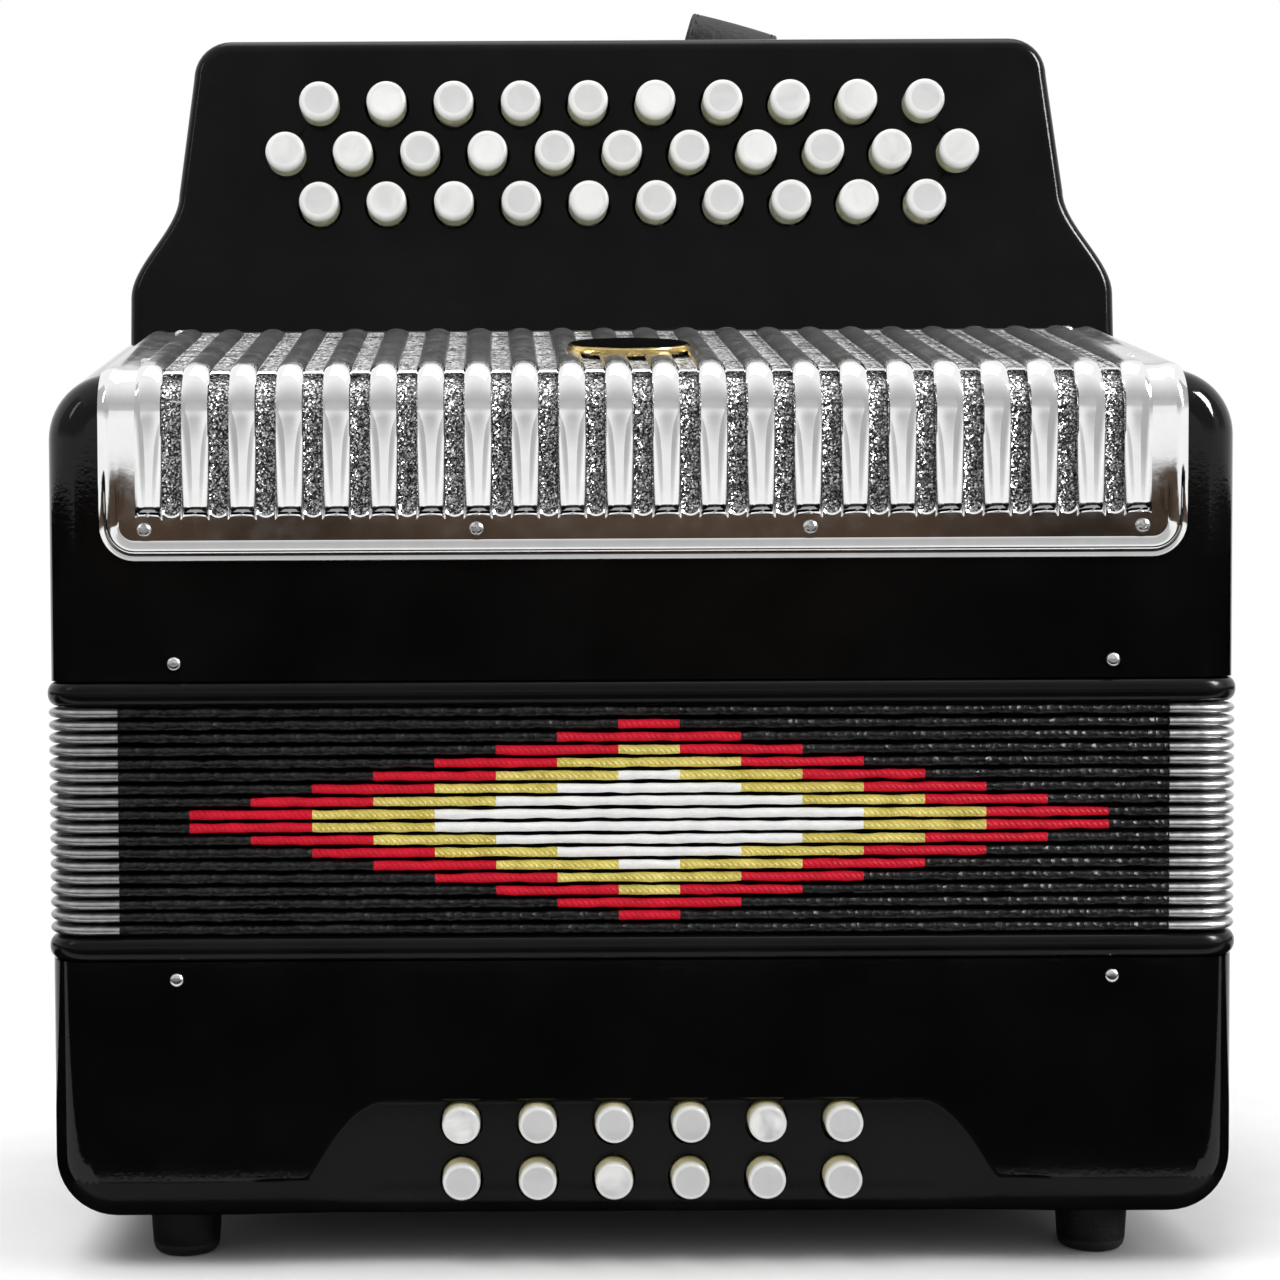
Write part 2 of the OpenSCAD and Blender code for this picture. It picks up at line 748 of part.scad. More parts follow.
module treble_soundboard() {
    edge = wall + fit;
    tone_w = pallet_w - 2 * pallet_lap;
    tone_l = pallet_l - 2 * pallet_lap;
    block_w = pallet_pitch - block_gap;
    color("#c9a672") difference() {
        union() {
            translate([0, 0, deck_z0]) linear_extrude(soundboard_t)
                rounded_rect(body_w - 2 * edge, body_d - 2 * edge, edge_r - wall);
            for (x = concat(post_x, [-end_post_x, end_post_x])) axle_post(x);
        }
        translate([-axle_half - over, axle_y, axle_z]) rotate([0, 90, 0])
            cylinder(h = 2 * (axle_half + over), r = axle_r + bore_fit);
        for (k = [0 : treble_count - 1])
            translate([treble_x(k) - tone_w / 2, axle_y - row_reach[row_of(k)] - tone_l / 2,
                deck_z0 - over])
                cube([tone_w, tone_l, soundboard_t + 2 * over]);
    }
    color("#b98f58") for (r = [0 : 2]) difference() {
        translate([-row_sizes[r] * button_pitch / 2, axle_y - row_reach[r] - block_w / 2,
            deck_z0 - glue_gap - reed_block_h])
            cube([row_sizes[r] * button_pitch, block_w, reed_block_h]);
        for (i = [0 : row_sizes[r] - 1])
            translate([treble_x(row_starts[r] + i) - tone_w / 2, axle_y - row_reach[r] - tone_l / 2,
                deck_z0 - reed_block_h + block_floor])
                cube([tone_w, tone_l, reed_block_h]);
    }
}

// Fittings of the treble end: axle, screws, bellows pins, strap brackets

module place_brackets() {
    for (sx = [-1, 1], sy = [-1, 1])
        translate([sx * (bracket_x - bracket_screw_in), bracket_y + sy * bracket_screw_half,
            board_z + fit + bracket_base_t]) children();
}

module strap_bracket(sx) {
    base_x = bracket_x + (bracket_t - bracket_base_w) / 2;
    difference() {
        union() {
            translate([sx * bracket_x - bracket_t / 2, bracket_y - bracket_r, board_z + fit])
                cube([bracket_t, 2 * bracket_r, bracket_base_t + bracket_r]);
            translate([sx * bracket_x, bracket_y, bracket_z]) rotate([0, 90, 0])
                cylinder(h = bracket_t, r = bracket_r, center = true);
            translate([sx * base_x - bracket_base_w / 2, bracket_y - bracket_r, board_z + fit])
                cube([bracket_base_w, 2 * bracket_r, bracket_base_t]);
        }
        translate([sx * bracket_x, bracket_y, bracket_z]) rotate([0, 90, 0])
            cylinder(h = bracket_t + 2 * over, r = bracket_hole_r, center = true);
        place_brackets() screw_hole(bracket_screw_l);
    }
}

module treble_fittings() {
    color("#b9bcc2") {
        translate([-axle_half, axle_y, axle_z]) rotate([0, 90, 0])
            cylinder(h = 2 * axle_half, r = axle_r);
        place_grille_screws() screw(grille_screw_l);
        place_bellows_pins(treble_pin_z) screw(pin_l);
        for (sx = [-1, 1]) strap_bracket(sx);
        place_brackets() translate([0, 0, glue_gap]) screw(bracket_screw_l);
        place_thumb_rivet() translate([0, 0, glue_gap]) screw(thumb_rivet_l);
    }
}

// Thumb strap: a leather loop on the back of the fingerboard

module thumb_loop_outline(r) {
    span = thumb_v1 - thumb_v0;
    square([2 * r, span], center = true);
    for (s = [-1, 1]) translate([0, s * span / 2]) circle(r);
}

module thumb_strap() {
    color("#232326") difference() {
        on_thumb_loop() along_x(-thumb_w / 2, thumb_w / 2) difference() {
            thumb_loop_outline(thumb_out_r);
            thumb_loop_outline(thumb_gap / 2);
        }
        place_thumb_rivet() screw_hole(strap_t + over);
    }
}

// Bellows, its metal corner caps and its two frames

module treble_frame() {
    color("#141416") difference() {
        union() {
            body_ring(bellows_z1, treble_z0, frame_proud, frame_w);
            body_ring(treble_z0 - over, treble_z0 + lip_h, -wall - fit, wall + fit + lip_t);
        }
        place_bellows_pins(treble_pin_z) screw_hole(pin_l);
    }
}

module bass_frame() {
    color("#141416") difference() {
        union() {
            body_ring(bass_z1, bellows_z0, frame_proud, frame_w);
            body_ring(bass_z1 - lip_h, bass_z1 + over, -wall - fit, wall + fit + lip_t);
        }
        place_bellows_pins(bass_pin_z) screw_hole(pin_l);
    }
}

module bellows() {
    color("#1b1b1d") {
        body_ring(bellows_z0, bellows_z1, -groove_depth, fold_depth);
        for (i = [0 : folds - 1])
            let (z = bellows_z0 + (i + 0.5) * fold_pitch - ridge_h / 2)
                body_ring(z, z + ridge_h, 0, fold_depth);
    }
}

module bellows_corners() {
    color("#c4c7cc") for (i = [0 : folds - 1]) intersection() {
        let (z = bellows_z0 + (i + 0.5) * fold_pitch - ridge_h / 2)
            body_ring(z, z + ridge_h, cap_gap + cap_t, -cap_gap);
        for (sx = [-1, 1], sy = [-1, 1])
            translate([sx * (body_w - 2 * cap_reach + far) / 2, sy * (body_d - 2 * cap_reach + far) / 2, 0])
                cube([far, far, 2 * far], center = true);
    }
}

// Bass end

module bass_profile(inset) {
    y0 = front_y + inset - skin;
    y2 = back_y - inset + skin;
    low = bass_z0 + inset;
    r = edge_r - inset;
    polygon([[y0, far], [y0, low + r], [y0 + r, low], [y2 - r, low], [y2, low + r], [y2, far]]);
    for (y = [y0 + r, y2 - r]) translate([y, low + r]) circle(r);
}

module bass_outline(inset) {
    half = body_w / 2 - inset + skin;
    low = bass_z0 + inset - skin;
    r = bass_corner_r - inset;
    translate([-half, low + r]) square([2 * half, far]);
    translate([r - half, low]) square([2 * (half - r), far]);
    for (s = [-1, 1]) translate([s * (half - r), low + r]) circle(r);
}

module bass_block(inset, z1) {
    intersection() {
        linear_extrude(z1)
            rounded_rect(body_w - 2 * inset, body_d - 2 * inset, edge_r - inset);
        along_x(-body_w, body_w) bass_profile(inset);
        along_y(-body_d, body_d) bass_outline(inset);
    }
}

module recess_outline() {
    side = [
        for (i = [0 : curve_steps])
            let (t = i / curve_steps)
                [
                    recess_low_half + (recess_top_half - recess_low_half) * t,
                    bass_z0 + recess_flare_h + (recess_h - recess_flare_h) * smooth(t)
                ]
    ];
    half_side = concat([[recess_low_half, 0]], side);
    polygon(concat(half_side, mirrored(half_side)));
}

module place_hand_screws() {
    for (sx = [-1, 1], sy = [-1, 1])
        translate([sx * hand_screw_x, sy * hand_w / 4, bass_z0 - strap_t - fit])
            rotate([180, 0, 0]) children();
}

module bass_casing() {
    panel_half = recess_low_half + wall;
    color("#101012") difference() {
        union() {
            difference() {
                bass_block(0, bass_z1);
                bass_block(wall, bass_z1 + over);
            }
            intersection() {
                bass_block(wall / 2, bass_z1);
                translate([bass_shift - panel_half, front_y, bass_z0])
                    cube([2 * panel_half, recess_depth + recess_wall, recess_h + recess_margin]);
            }
        }
        translate([bass_shift, 0, 0]) along_y(front_y - over, recess_y) recess_outline();
        for (k = [0 : bass_count - 1])
            translate([bass_x(k), front_y, bass_z0 + bass_rows[floor(k / bass_columns)]])
                rotate([-90, 0, 0])
                    cylinder(h = 2 * (recess_depth + recess_wall), r = bass_button_r + hole_fit);
        translate([air_x, back_y - wall - over, air_z]) rotate([-90, 0, 0])
            cylinder(h = wall + 2 * over, r = air_r + loose_fit);
        place_bellows_pins(bass_pin_z) screw_hole(pin_l);
        place_hand_screws() screw_hole(hand_screw_l + over);
    }
}

module bass_lever_outline(r) {
    down = bass_axle_z - bass_z0 - bass_rows[r];
    back = bass_arms[r];
    foot_y = bass_deck_y - pallet_t - 2 * glue_gap - bass_axle_y;
    w = bass_lever_w;
    difference() {
        union() {
            circle(bass_hub_r);
            arm([0, 0], [back, -w], w);
            arm([back, -w], [back, -down], w);
            translate([back - w / 2, -down - w / 2]) square([w, w]);
            arm([0, 0], [foot_y - 1.5 * w, bass_pallet_rise], w);
            translate([foot_y - 1.5 * w, bass_pallet_rise - w / 2]) square([1.5 * w, w]);
        }
        circle(axle_r + bore_fit);
    }
}

module bass_key(k) {
    r = floor(k / bass_columns);
    x = bass_x(k);
    back = bass_axle_y + bass_arms[r] - bass_lever_w / 2 - glue_gap;
    out_y = recess_y - bass_button_out;
    color("#f2efe6") translate([x, out_y, bass_z0 + bass_rows[r]])
        rotate([-90, 0, 0]) cylinder(h = back - out_y, r = bass_button_r);
    color("#8d8f94") translate([x + bass_steps[r] * lever_step, bass_axle_y, bass_axle_z])
        along_x(-lever_t / 2, lever_t / 2) bass_lever_outline(r);
    color("#b5793f")
        translate([x + bass_steps[r] * bass_pallet_x - bass_pallet_w / 2,
            bass_deck_y - pallet_t - glue_gap, bass_axle_z + bass_pallet_rise - bass_pallet_h / 2])
            cube([bass_pallet_w, pallet_t, bass_pallet_h]);
}

bass_post_x = [for (i = [0, 2, 4]) bass_x(i) + button_pitch / 2];
bass_end_post_x = [bass_x(0) - button_pitch / 2, bass_x(bass_columns - 1) + button_pitch / 2];

module bass_soundboard() {
    edge = wall + fit;
    inner_half = body_w / 2 - edge - lip_t - lip_gap;
    tone = bass_pallet_w - 2 * pallet_lap;
    block_h = bass_z1 - lip_h - lip_gap - bass_axle_z + bass_block_drop;
    color("#c9a672") difference() {
        union() {
            intersection() {
                bass_block(edge, bass_z1 - fit);
                translate([-inner_half, bass_deck_y, 0])
                    cube([2 * inner_half, soundboard_t, bass_z1 - fit]);
            }
            for (x = concat(bass_post_x, bass_end_post_x)) {
                translate([x - post_t / 2, bass_axle_y, bass_axle_z - bass_hub_r])
                    cube([post_t, bass_deck_y - bass_axle_y + over, 2 * bass_hub_r]);
                translate([x, bass_axle_y, bass_axle_z]) rotate([0, 90, 0])
                    cylinder(h = post_t, r = bass_hub_r, center = true);
            }
        }
        translate([-far, bass_axle_y, bass_axle_z]) rotate([0, 90, 0])
            cylinder(h = 2 * far, r = axle_r + bore_fit);
        for (k = [0 : bass_count - 1])
            translate([bass_x(k) + bass_steps[floor(k / bass_columns)] * bass_pallet_x - tone / 2,
                bass_deck_y - over, bass_axle_z + bass_pallet_rise - tone / 2])
                cube([tone, soundboard_t + 2 * over, tone]);
    }
    color("#b98f58") translate([bass_shift - bass_columns * button_pitch / 2,
        bass_deck_y + soundboard_t + glue_gap, bass_axle_z - bass_block_drop])
        difference() {
            cube([bass_columns * button_pitch, bass_block_d, block_h]);
            for (i = [0 : bass_columns - 1])
                translate([i * button_pitch + cell_wall, -over, cell_wall])
                    cube([button_pitch - 2 * cell_wall, bass_cell_d + over, block_h - 2 * cell_wall]);
        }
}

module bass_fittings() {
    color("#b9bcc2") {
        translate([bass_end_post_x[0] - post_t, bass_axle_y, bass_axle_z]) rotate([0, 90, 0])
            cylinder(h = bass_end_post_x[1] - bass_end_post_x[0] + 2 * post_t, r = axle_r);
        place_bellows_pins(bass_pin_z) screw(pin_l);
        place_hand_screws() translate([0, 0, glue_gap]) screw(hand_screw_l);
    }
}

module feet() {
    color("#1d1d1f") for (sx = [-1, 1], sy = [-1, 1])
        translate([sx * foot_x, sy * foot_y, 0])
            cylinder(h = foot_h, r1 = foot_r - foot_taper, r2 = foot_r);
}

module hand_strap() {
    top = bass_z0 - fit;
    low = bass_z0 - hand_gap;
    fold_x = hand_half - hand_end;
    flat_half = fold_x - hand_ramp;
    mitre = strap_t * tan(atan((top - low) / hand_ramp) / 2);
    half_side = [
        [flat_half, low], [fold_x, top], [hand_half, top], [hand_half, top - strap_t],
        [fold_x + mitre, top - strap_t], [flat_half + mitre, low - strap_t]
    ];
    color("#232326") difference() {
        along_y(-hand_w / 2, hand_w / 2) polygon(concat(half_side, mirrored(half_side)));
        place_hand_screws() screw_hole(strap_t + 2 * over);
    }
}

// Air button: a plunger whose disc seals the air hole in the back wall

module air_button() {
    color("#d9d6cc") translate([air_x, back_y - wall - glue_gap, air_z])
        rotate([-90, 0, 0]) cylinder(h = wall + glue_gap + air_out, r = air_r);
    color("#b5793f") translate([air_x, back_y - wall - 2 * glue_gap - air_disc_t, air_z])
        rotate([-90, 0, 0]) cylinder(h = air_disc_t, r = air_r + air_disc_rim);
}

treble_casing();
fingerboard();
treble_grille();
grille_cloth();
treble_soundboard();
treble_fittings();
thumb_strap();
treble_frame();
bellows();
bellows_corners();
bass_frame();
bass_casing();
bass_soundboard();
bass_fittings();
feet();
hand_strap();
air_button();
for (k = [0 : treble_count - 1]) treble_key(k);
for (k = [0 : bass_count - 1]) bass_key(k);
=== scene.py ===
import random
from math import asin, atan, ceil, cos, degrees, hypot, pi, radians, sin, sqrt, tan

import bmesh
import bpy
from mathutils import Matrix, Vector
from mathutils.geometry import delaunay_2d_cdt


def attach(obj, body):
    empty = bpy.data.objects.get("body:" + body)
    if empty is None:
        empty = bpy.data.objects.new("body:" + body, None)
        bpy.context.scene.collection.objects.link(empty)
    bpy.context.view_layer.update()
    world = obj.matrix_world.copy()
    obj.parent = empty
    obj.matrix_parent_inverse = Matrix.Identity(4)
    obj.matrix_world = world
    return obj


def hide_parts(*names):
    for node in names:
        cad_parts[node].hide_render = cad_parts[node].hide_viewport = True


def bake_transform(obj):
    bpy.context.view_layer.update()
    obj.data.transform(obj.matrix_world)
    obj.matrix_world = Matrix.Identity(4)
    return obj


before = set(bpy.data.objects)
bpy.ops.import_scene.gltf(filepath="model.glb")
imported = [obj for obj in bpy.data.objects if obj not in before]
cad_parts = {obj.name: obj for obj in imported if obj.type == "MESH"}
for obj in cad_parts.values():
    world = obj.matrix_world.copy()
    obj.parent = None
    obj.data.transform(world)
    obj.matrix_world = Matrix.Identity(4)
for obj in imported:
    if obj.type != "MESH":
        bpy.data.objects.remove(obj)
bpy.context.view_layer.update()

scene = bpy.context.scene
MM = 0.001

# Main sizes in millimetres, as in the part's source, but with a slightly taller fingerboard
BODY_W, BODY_D, WALL, EDGE_R = 305.0, 170.0, 5.0, 10.5
HALF_W, HALF_D = BODY_W / 2, BODY_D / 2
FRONT_Y, BACK_Y = -HALF_D, HALF_D
FOOT_H, BASS_H, TREBLE_H = 14.0, 67.5, 77.0
FOLDS, FOLD_PITCH, FRAME_H = 18, 3.27, 6.5
BASS_Z0 = FOOT_H
BASS_Z1 = BASS_Z0 + BASS_H
BELLOWS_Z0 = BASS_Z1 + FRAME_H
BELLOWS_Z1 = BELLOWS_Z0 + FOLDS * FOLD_PITCH
TREBLE_Z0 = BELLOWS_Z1 + FRAME_H
BEND_Z = TREBLE_Z0 + TREBLE_H
SLOPE_RISE, BOARD_Y = 19.5, 8.0
BOARD_Z = BEND_Z + SLOPE_RISE
SLOPE = atan(SLOPE_RISE / (BOARD_Y - FRONT_Y))
BEND_R, SHOULDER_R, BASS_CORNER_R, LEAST_R = 11.0, 17.0, 16.0, 2.0
BOARD_H, BOARD_T, BOARD_LEAN = 88.9, 45.0, 5.5
LEAN = radians(BOARD_LEAN)
BUTTON_PITCH, ROW_PITCH, FIRST_ROW = 19.6, 14.8, 38.7
BUTTON_R, BUTTON_OUT = 5.8, 7.0
TREBLE_KEYS, BASS_KEYS = 31, 12
FIT = 0.2


def smooth(t):
    t = min(max(t, 0.0), 1.0)
    return t * t * (3 - 2 * t)


def lerp(a, b, t):
    return a + (b - a) * t


def steps(a, b, n):
    return [lerp(a, b, i / n) for i in range(n + 1)]


def both_ways(values):
    """The values with their negatives before them, around a first value of 0."""
    return [-v for v in reversed(values[1:])] + list(values)


def arc(cx, cy, r, angles):
    """Points of a circle at angles in degrees."""
    return [(cx + r * cos(radians(a)), cy + r * sin(radians(a))) for a in angles]


def quarter(r, n):
    """(depth, inset) down a rounded edge, from its face to its side."""
    return [(r * (1 - cos(radians(a))), r * (1 - sin(radians(a)))) for a in steps(0, 90, n)]


def seat(at, turn=0.0, axis="X"):
    """A local frame at a place, turned by degrees about one axis."""
    return Matrix.Translation(at) @ Matrix.Rotation(radians(turn), 4, axis)


# Materials

class Look:
    """A node tree with short calls for the nodes that the materials share."""

    def __init__(self, owner, shader="Principled BSDF"):
        owner.use_nodes = True
        self.owner, self.tree = owner, owner.node_tree
        self.shader = self.tree.nodes[shader]
        self.vector = None

    def feed(self, node, inputs):
        """Links an input that is given a socket, and sets any other on the node itself."""
        for key, value in inputs.items():
            if isinstance(value, bpy.types.NodeSocket):
                self.tree.links.new(value, node.inputs[key])
            else:
                node.inputs[key].default_value = value

    def node(self, kind, inputs=None, **settings):
        node = self.tree.nodes.new("ShaderNode" + kind)
        for key, value in settings.items():
            setattr(node, key, value)
        self.feed(node, inputs or {})
        return node

    def noise(self, scale, detail=3.0, rough=0.5, warp=0.0):
        return self.node("TexNoise", {"Vector": self.vector, "Scale": scale, "Detail": detail,
                                      "Roughness": rough, "Distortion": warp}).outputs["Fac"]

    def cells(self, scale, output="Distance"):
        return self.node("TexVoronoi", {"Vector": self.vector, "Scale": scale}).outputs[output]

    def ramp(self, value, stops):
        node = self.node("ValToRGB", {"Fac": value})
        ends = node.color_ramp.elements
        while len(ends) < len(stops):
            ends.new(0.5)
        for end, (place, tone) in zip(ends, stops):
            end.position = place
            end.color = (*tone, 1) if hasattr(tone, "__len__") else (tone, tone, tone, 1)
        return node.outputs["Color"]

    def paint(self, pattern, places, tones, rough_places, rough):
        """Base colour and roughness that follow one pattern."""
        self.feed(self.shader, {"Base Color": self.ramp(pattern, list(zip(places, tones))),
                                "Roughness": self.ramp(pattern, list(zip(rough_places, rough)))})

    def bump(self, height, strength, distance, below=None):
        bump = self.node("Bump", {"Height": height, "Strength": strength, "Distance": distance})
        if below is not None:
            self.feed(bump, {"Normal": below})
        self.feed(self.shader, {"Normal": bump.outputs["Normal"]})
        return bump.outputs["Normal"]


def material(name, stretch=(1, 1, 1)):
    look = Look(bpy.data.materials.new(name))
    coords = look.node("TexCoord")
    mapping = look.node("Mapping", {"Vector": coords.outputs["Object"], "Scale": stretch})
    look.vector = mapping.outputs["Vector"]
    return look


def lacquer(name, tones, rough, specular, grain=900.0, relief=0.03):
    """Polished or satin black with faint unevenness and a few duller patches."""
    look = material(name)
    look.paint(look.noise(38, 5, 0.6), (0.35, 0.75), tones, (0.3, 0.8), rough)
    look.feed(look.shader, {"Specular IOR Level": specular})
    look.bump(look.noise(grain, 2), relief, 0.0004)
    return look.owner


def metal(name, tones, rough, scale=160.0, relief=0.02, metallic=1.0):
    look = material(name)
    streaks = look.noise(scale, 4, 0.6)
    look.paint(streaks, (0.3, 0.7), tones, (0.3, 0.75), rough)
    look.feed(look.shader, {"Metallic": metallic})
    look.bump(streaks, relief, 0.0003)
    return look.owner


def glitter_cloth(name, scale, tones, flakes, tilt=1.1):
    """Black cloth set with small silver flakes, each tilted its own way."""
    look = material(name)
    tint = look.cells(scale, "Color")
    split = look.node("SeparateColor", {"Color": tint})
    specks = split.outputs["Red"]
    shift = look.node("VectorMath", {0: tint, 1: (tilt,) * 3, 2: (-tilt / 2,) * 3}, operation="MULTIPLY_ADD")
    facing = look.node("NewGeometry").outputs["Normal"]
    flake = look.node("VectorMath", {0: facing, 1: shift.outputs["Vector"]}, operation="ADD")
    level = look.node("VectorMath", {0: flake.outputs["Vector"]}, operation="NORMALIZE")
    look.feed(look.shader, {"Base Color": look.ramp(specks, tones), "Metallic": look.ramp(specks, flakes),
                            "Roughness": look.ramp(split.outputs["Green"], [(0.0, 0.16), (1.0, 0.4)]),
                            "Normal": level.outputs["Vector"]})
    return look.owner


def pearl(name, tones, rough, places=(0.3, 0.7)):
    """Cloudy white plastic under a clear coat."""
    look = material(name)
    look.paint(look.noise(120, 2, 0.5, 0.8), places, tones, (0.3, 0.7), rough)
    look.feed(look.shader, {"Coat Weight": 0.6, "Coat Roughness": 0.05, "Sheen Weight": 0.15})
    look.bump(look.noise(420, 2), 0.05, 0.0003)
    return look.owner


def leather(name, tones, rough, grain=700.0, relief=0.35, specular=0.4, lumps=190.0):
    look = material(name)
    look.paint(look.noise(55, 5, 0.65), (0.3, 0.75), tones, (0.3, 0.8), rough)
    look.feed(look.shader, {"Specular IOR Level": specular})
    creases = look.bump(look.cells(grain), relief, 0.0006)
    look.bump(look.noise(lumps, 4, 0.6), 0.35, 0.0009, creases)
    return look.owner


def ribbon(name, tones, rough, thread, relief, specular):
    """Woven tape: fine slanting threads and a soft change of tone."""
    look = material(name)
    look.paint(look.noise(130, 4, 0.6), (0.3, 0.7), tones, (0.3, 0.8), rough)
    look.feed(look.shader, {"Specular IOR Level": specular})
    threads = look.node("TexWave", {"Vector": look.vector, "Scale": thread, "Distortion": 1.2},
                        bands_direction="DIAGONAL")
    look.bump(threads.outputs["Fac"], relief, 0.0005)
    return look.owner


def wood(name, tones):
    look = material(name, (3, 40, 40))
    grain = look.noise(14, 6, 0.62, 1.2)
    look.paint(grain, (0.3, 0.72), tones, (0.3, 0.8), (0.6, 0.45))
    look.bump(grain, 0.15, 0.0004)
    return look.owner


CASE = lacquer("black_lacquer", (0.0015, 0.0028), (0.05, 0.1), 0.24)
FRAME = lacquer("black_frame_lacquer", (0.002, 0.0035), (0.16, 0.26), 0.16)
BOARD = lacquer("fingerboard_black", (0.0022, 0.0044), (0.1, 0.17), 0.14, 1500, 0.06)
PANEL = lacquer("recess_satin", (0.0028, 0.0048), (0.2, 0.3), 0.11, 1800, 0.12)
CHROME = metal("polished_chrome", (0.86, 0.93), (0.03, 0.08))
# Rougher chrome for the grille past the bend, its darker colour painted shade on the slope
CHROME_SLOPE_SHADED = metal("hazy_chrome_painted_shade", (0.5, 0.62), (0.18, 0.28), metallic=0.88)
CAP_METAL = metal("nickel_caps", (0.33, 0.45), (0.3, 0.42), 420, 0.1)
STEEL = metal("nickel_steel", (0.66, 0.8), (0.16, 0.3), 700, 0.08)
LEVER = metal("lever_steel", (0.34, 0.45), (0.28, 0.42), 500, 0.1)
GOLD = metal("gold_rim", ((0.62, 0.44, 0.16), (0.8, 0.6, 0.25)), (0.14, 0.26), 500, 0.06)
CLOTH = glitter_cloth("glitter_cloth", 2600, [(0.0, 0.004), (0.38, 0.01), (0.5, 0.22), (0.95, 0.9)],
                      [(0.38, 0.0), (0.46, 1.0)])
# The slope's cloth is a lighter copy of the glitter cloth: painted light where the slope faces the lamps
# above
CLOTH_SLOPE_LIT = glitter_cloth("glitter_cloth_slope_painted_light", 1300,
                            [(0.0, 0.02), (0.3, 0.07), (0.5, 0.5), (0.95, 0.95)], [(0.85, 0.0), (0.95, 1.0)])
PEARL = pearl("pearl_rim", ((0.68, 0.68, 0.67), (0.77, 0.77, 0.75)), (0.12, 0.2))
PEARL_GREY = pearl("pearl_dish_grey", ((0.57, 0.57, 0.57), (0.63, 0.63, 0.625)), (0.1, 0.18))
PEARL_MID = pearl("pearl_dish_cloudy", ((0.6, 0.6, 0.6), (0.74, 0.74, 0.73)), (0.1, 0.18))
PEARL_WHITE = pearl("pearl_dish_white", ((0.74, 0.74, 0.73), (0.81, 0.81, 0.8)), (0.1, 0.18))
# Darker, yellowish tone for the buttons' side walls: painted shade below the caps
PEARL_SIDE_SHADED = pearl("pearl_side_painted_shade", ((0.4, 0.4, 0.22), (0.54, 0.54, 0.34)), (0.2, 0.3))
# The bass buttons' colours are greyer copies of the pearl: painted shade on the buttons low on the front,
# with a darker yellowish side
BASS_DISH_SHADED = pearl("bass_dish_painted_shade", ((0.46, 0.46, 0.47), (0.52, 0.52, 0.52)), (0.14, 0.22))
BASS_MID_SHADED = pearl("bass_cloudy_painted_shade", ((0.46, 0.46, 0.47), (0.72, 0.72, 0.71)), (0.14, 0.22), (0.35, 0.6))
BASS_RIM_SHADED = pearl("bass_rim_painted_shade", ((0.62, 0.62, 0.6), (0.7, 0.7, 0.68)), (0.12, 0.2))
BASS_SIDE_SHADED = pearl("bass_side_painted_shade", ((0.5, 0.44, 0.18), (0.66, 0.6, 0.34)), (0.2, 0.3))
LEATHER = leather("strap_leather", (0.004, 0.01), (0.45, 0.62), 700, 0.2, 0.3)
THREAD = ribbon("strap_thread", (0.02, 0.05), (0.6, 0.75), 900, 0.4, 0.25)
FOLD_BLACK = leather("fold_black", (0.002, 0.006), (0.28, 0.42), 620, 0.7, 0.3, 330)
FOLD_RED = ribbon("fold_red", ((0.4, 0.0012, 0.012), (0.58, 0.0035, 0.022)), (0.4, 0.54), 420, 0.4, 0.12)
FOLD_GOLD = ribbon("fold_gold", ((0.46, 0.37, 0.05), (0.8, 0.68, 0.18)), (0.36, 0.5), 420, 0.8, 0.25)
FOLD_WHITE = ribbon("fold_white", ((0.64, 0.64, 0.63), (0.76, 0.76, 0.75)), (0.4, 0.52), 640, 0.12, 0.25)
PLEAT = leather("pleat_cloth", (0.006, 0.012), (0.6, 0.8), 900, 0.3)
RUBBER = leather("foot_rubber", (0.004, 0.009), (0.5, 0.68), 1500, 0.12, 0.25)
PALLET = wood("pallet_wood", ((0.28, 0.15, 0.06), (0.45, 0.27, 0.12)))
WOOD = wood("sound_wood", ((0.4, 0.26, 0.12), (0.6, 0.43, 0.22)))


# Mesh helpers

class Shape:
    """Vertices in millimetres, faces and their material numbers, gathered from several solids."""

    def __init__(self):
        self.verts, self.faces, self.mats = [], [], []

    def add(self, verts, faces, mat=0):
        start = len(self.verts)
        self.verts += [tuple(v) for v in verts]
        self.faces += [tuple(start + i for i in f) for f in faces]
        self.mats += mat if isinstance(mat, list) else [mat] * len(faces)
        return self

    def build(self, name, materials, angle=32, weld=None):
        mesh = bpy.data.meshes.new(name)
        mesh.from_pydata([(x * MM, y * MM, z * MM) for x, y, z in self.verts], [], self.faces)
        for m in materials:
            mesh.materials.append(m)
        mesh.polygons.foreach_set("material_index", self.mats)
        bm = bmesh.new()
        bm.from_mesh(mesh)
        if weld:
            bmesh.ops.remove_doubles(bm, verts=bm.verts, dist=weld * MM)
        bmesh.ops.recalc_face_normals(bm, faces=bm.faces)
        bm.to_mesh(mesh)
        bm.free()
        obj = bpy.data.objects.new(name, mesh)
        scene.collection.objects.link(obj)
        shade(obj, angle)
        return obj


def shade(obj, angle):
    obj.data.shade_smooth()
    obj.data.set_sharp_from_angle(angle=radians(angle))


def flatten(obj, facing):
    """Plane faces keep their own normal, so that the rounded edges don't tint them."""
    for face in obj.data.polygons:
        if face.normal.dot(facing) > 0.99999:
            face.use_smooth = False


def loft(rings, closed=False, caps=True):
    """Faces between closed rings of equally many points, with caps on an open row of rings."""
    n, m = len(rings[0]), len(rings)
    verts = [p for ring in rings for p in ring]
    faces = []
    for a in range(m if closed else m - 1):
        b = (a + 1) % m
        for i in range(n):
            j = (i + 1) % n
            faces.append((a * n + i, a * n + j, b * n + j, b * n + i))
    if caps and not closed:
        faces += [tuple(range(n)), tuple(range((m - 1) * n, m * n))]
    return verts, faces


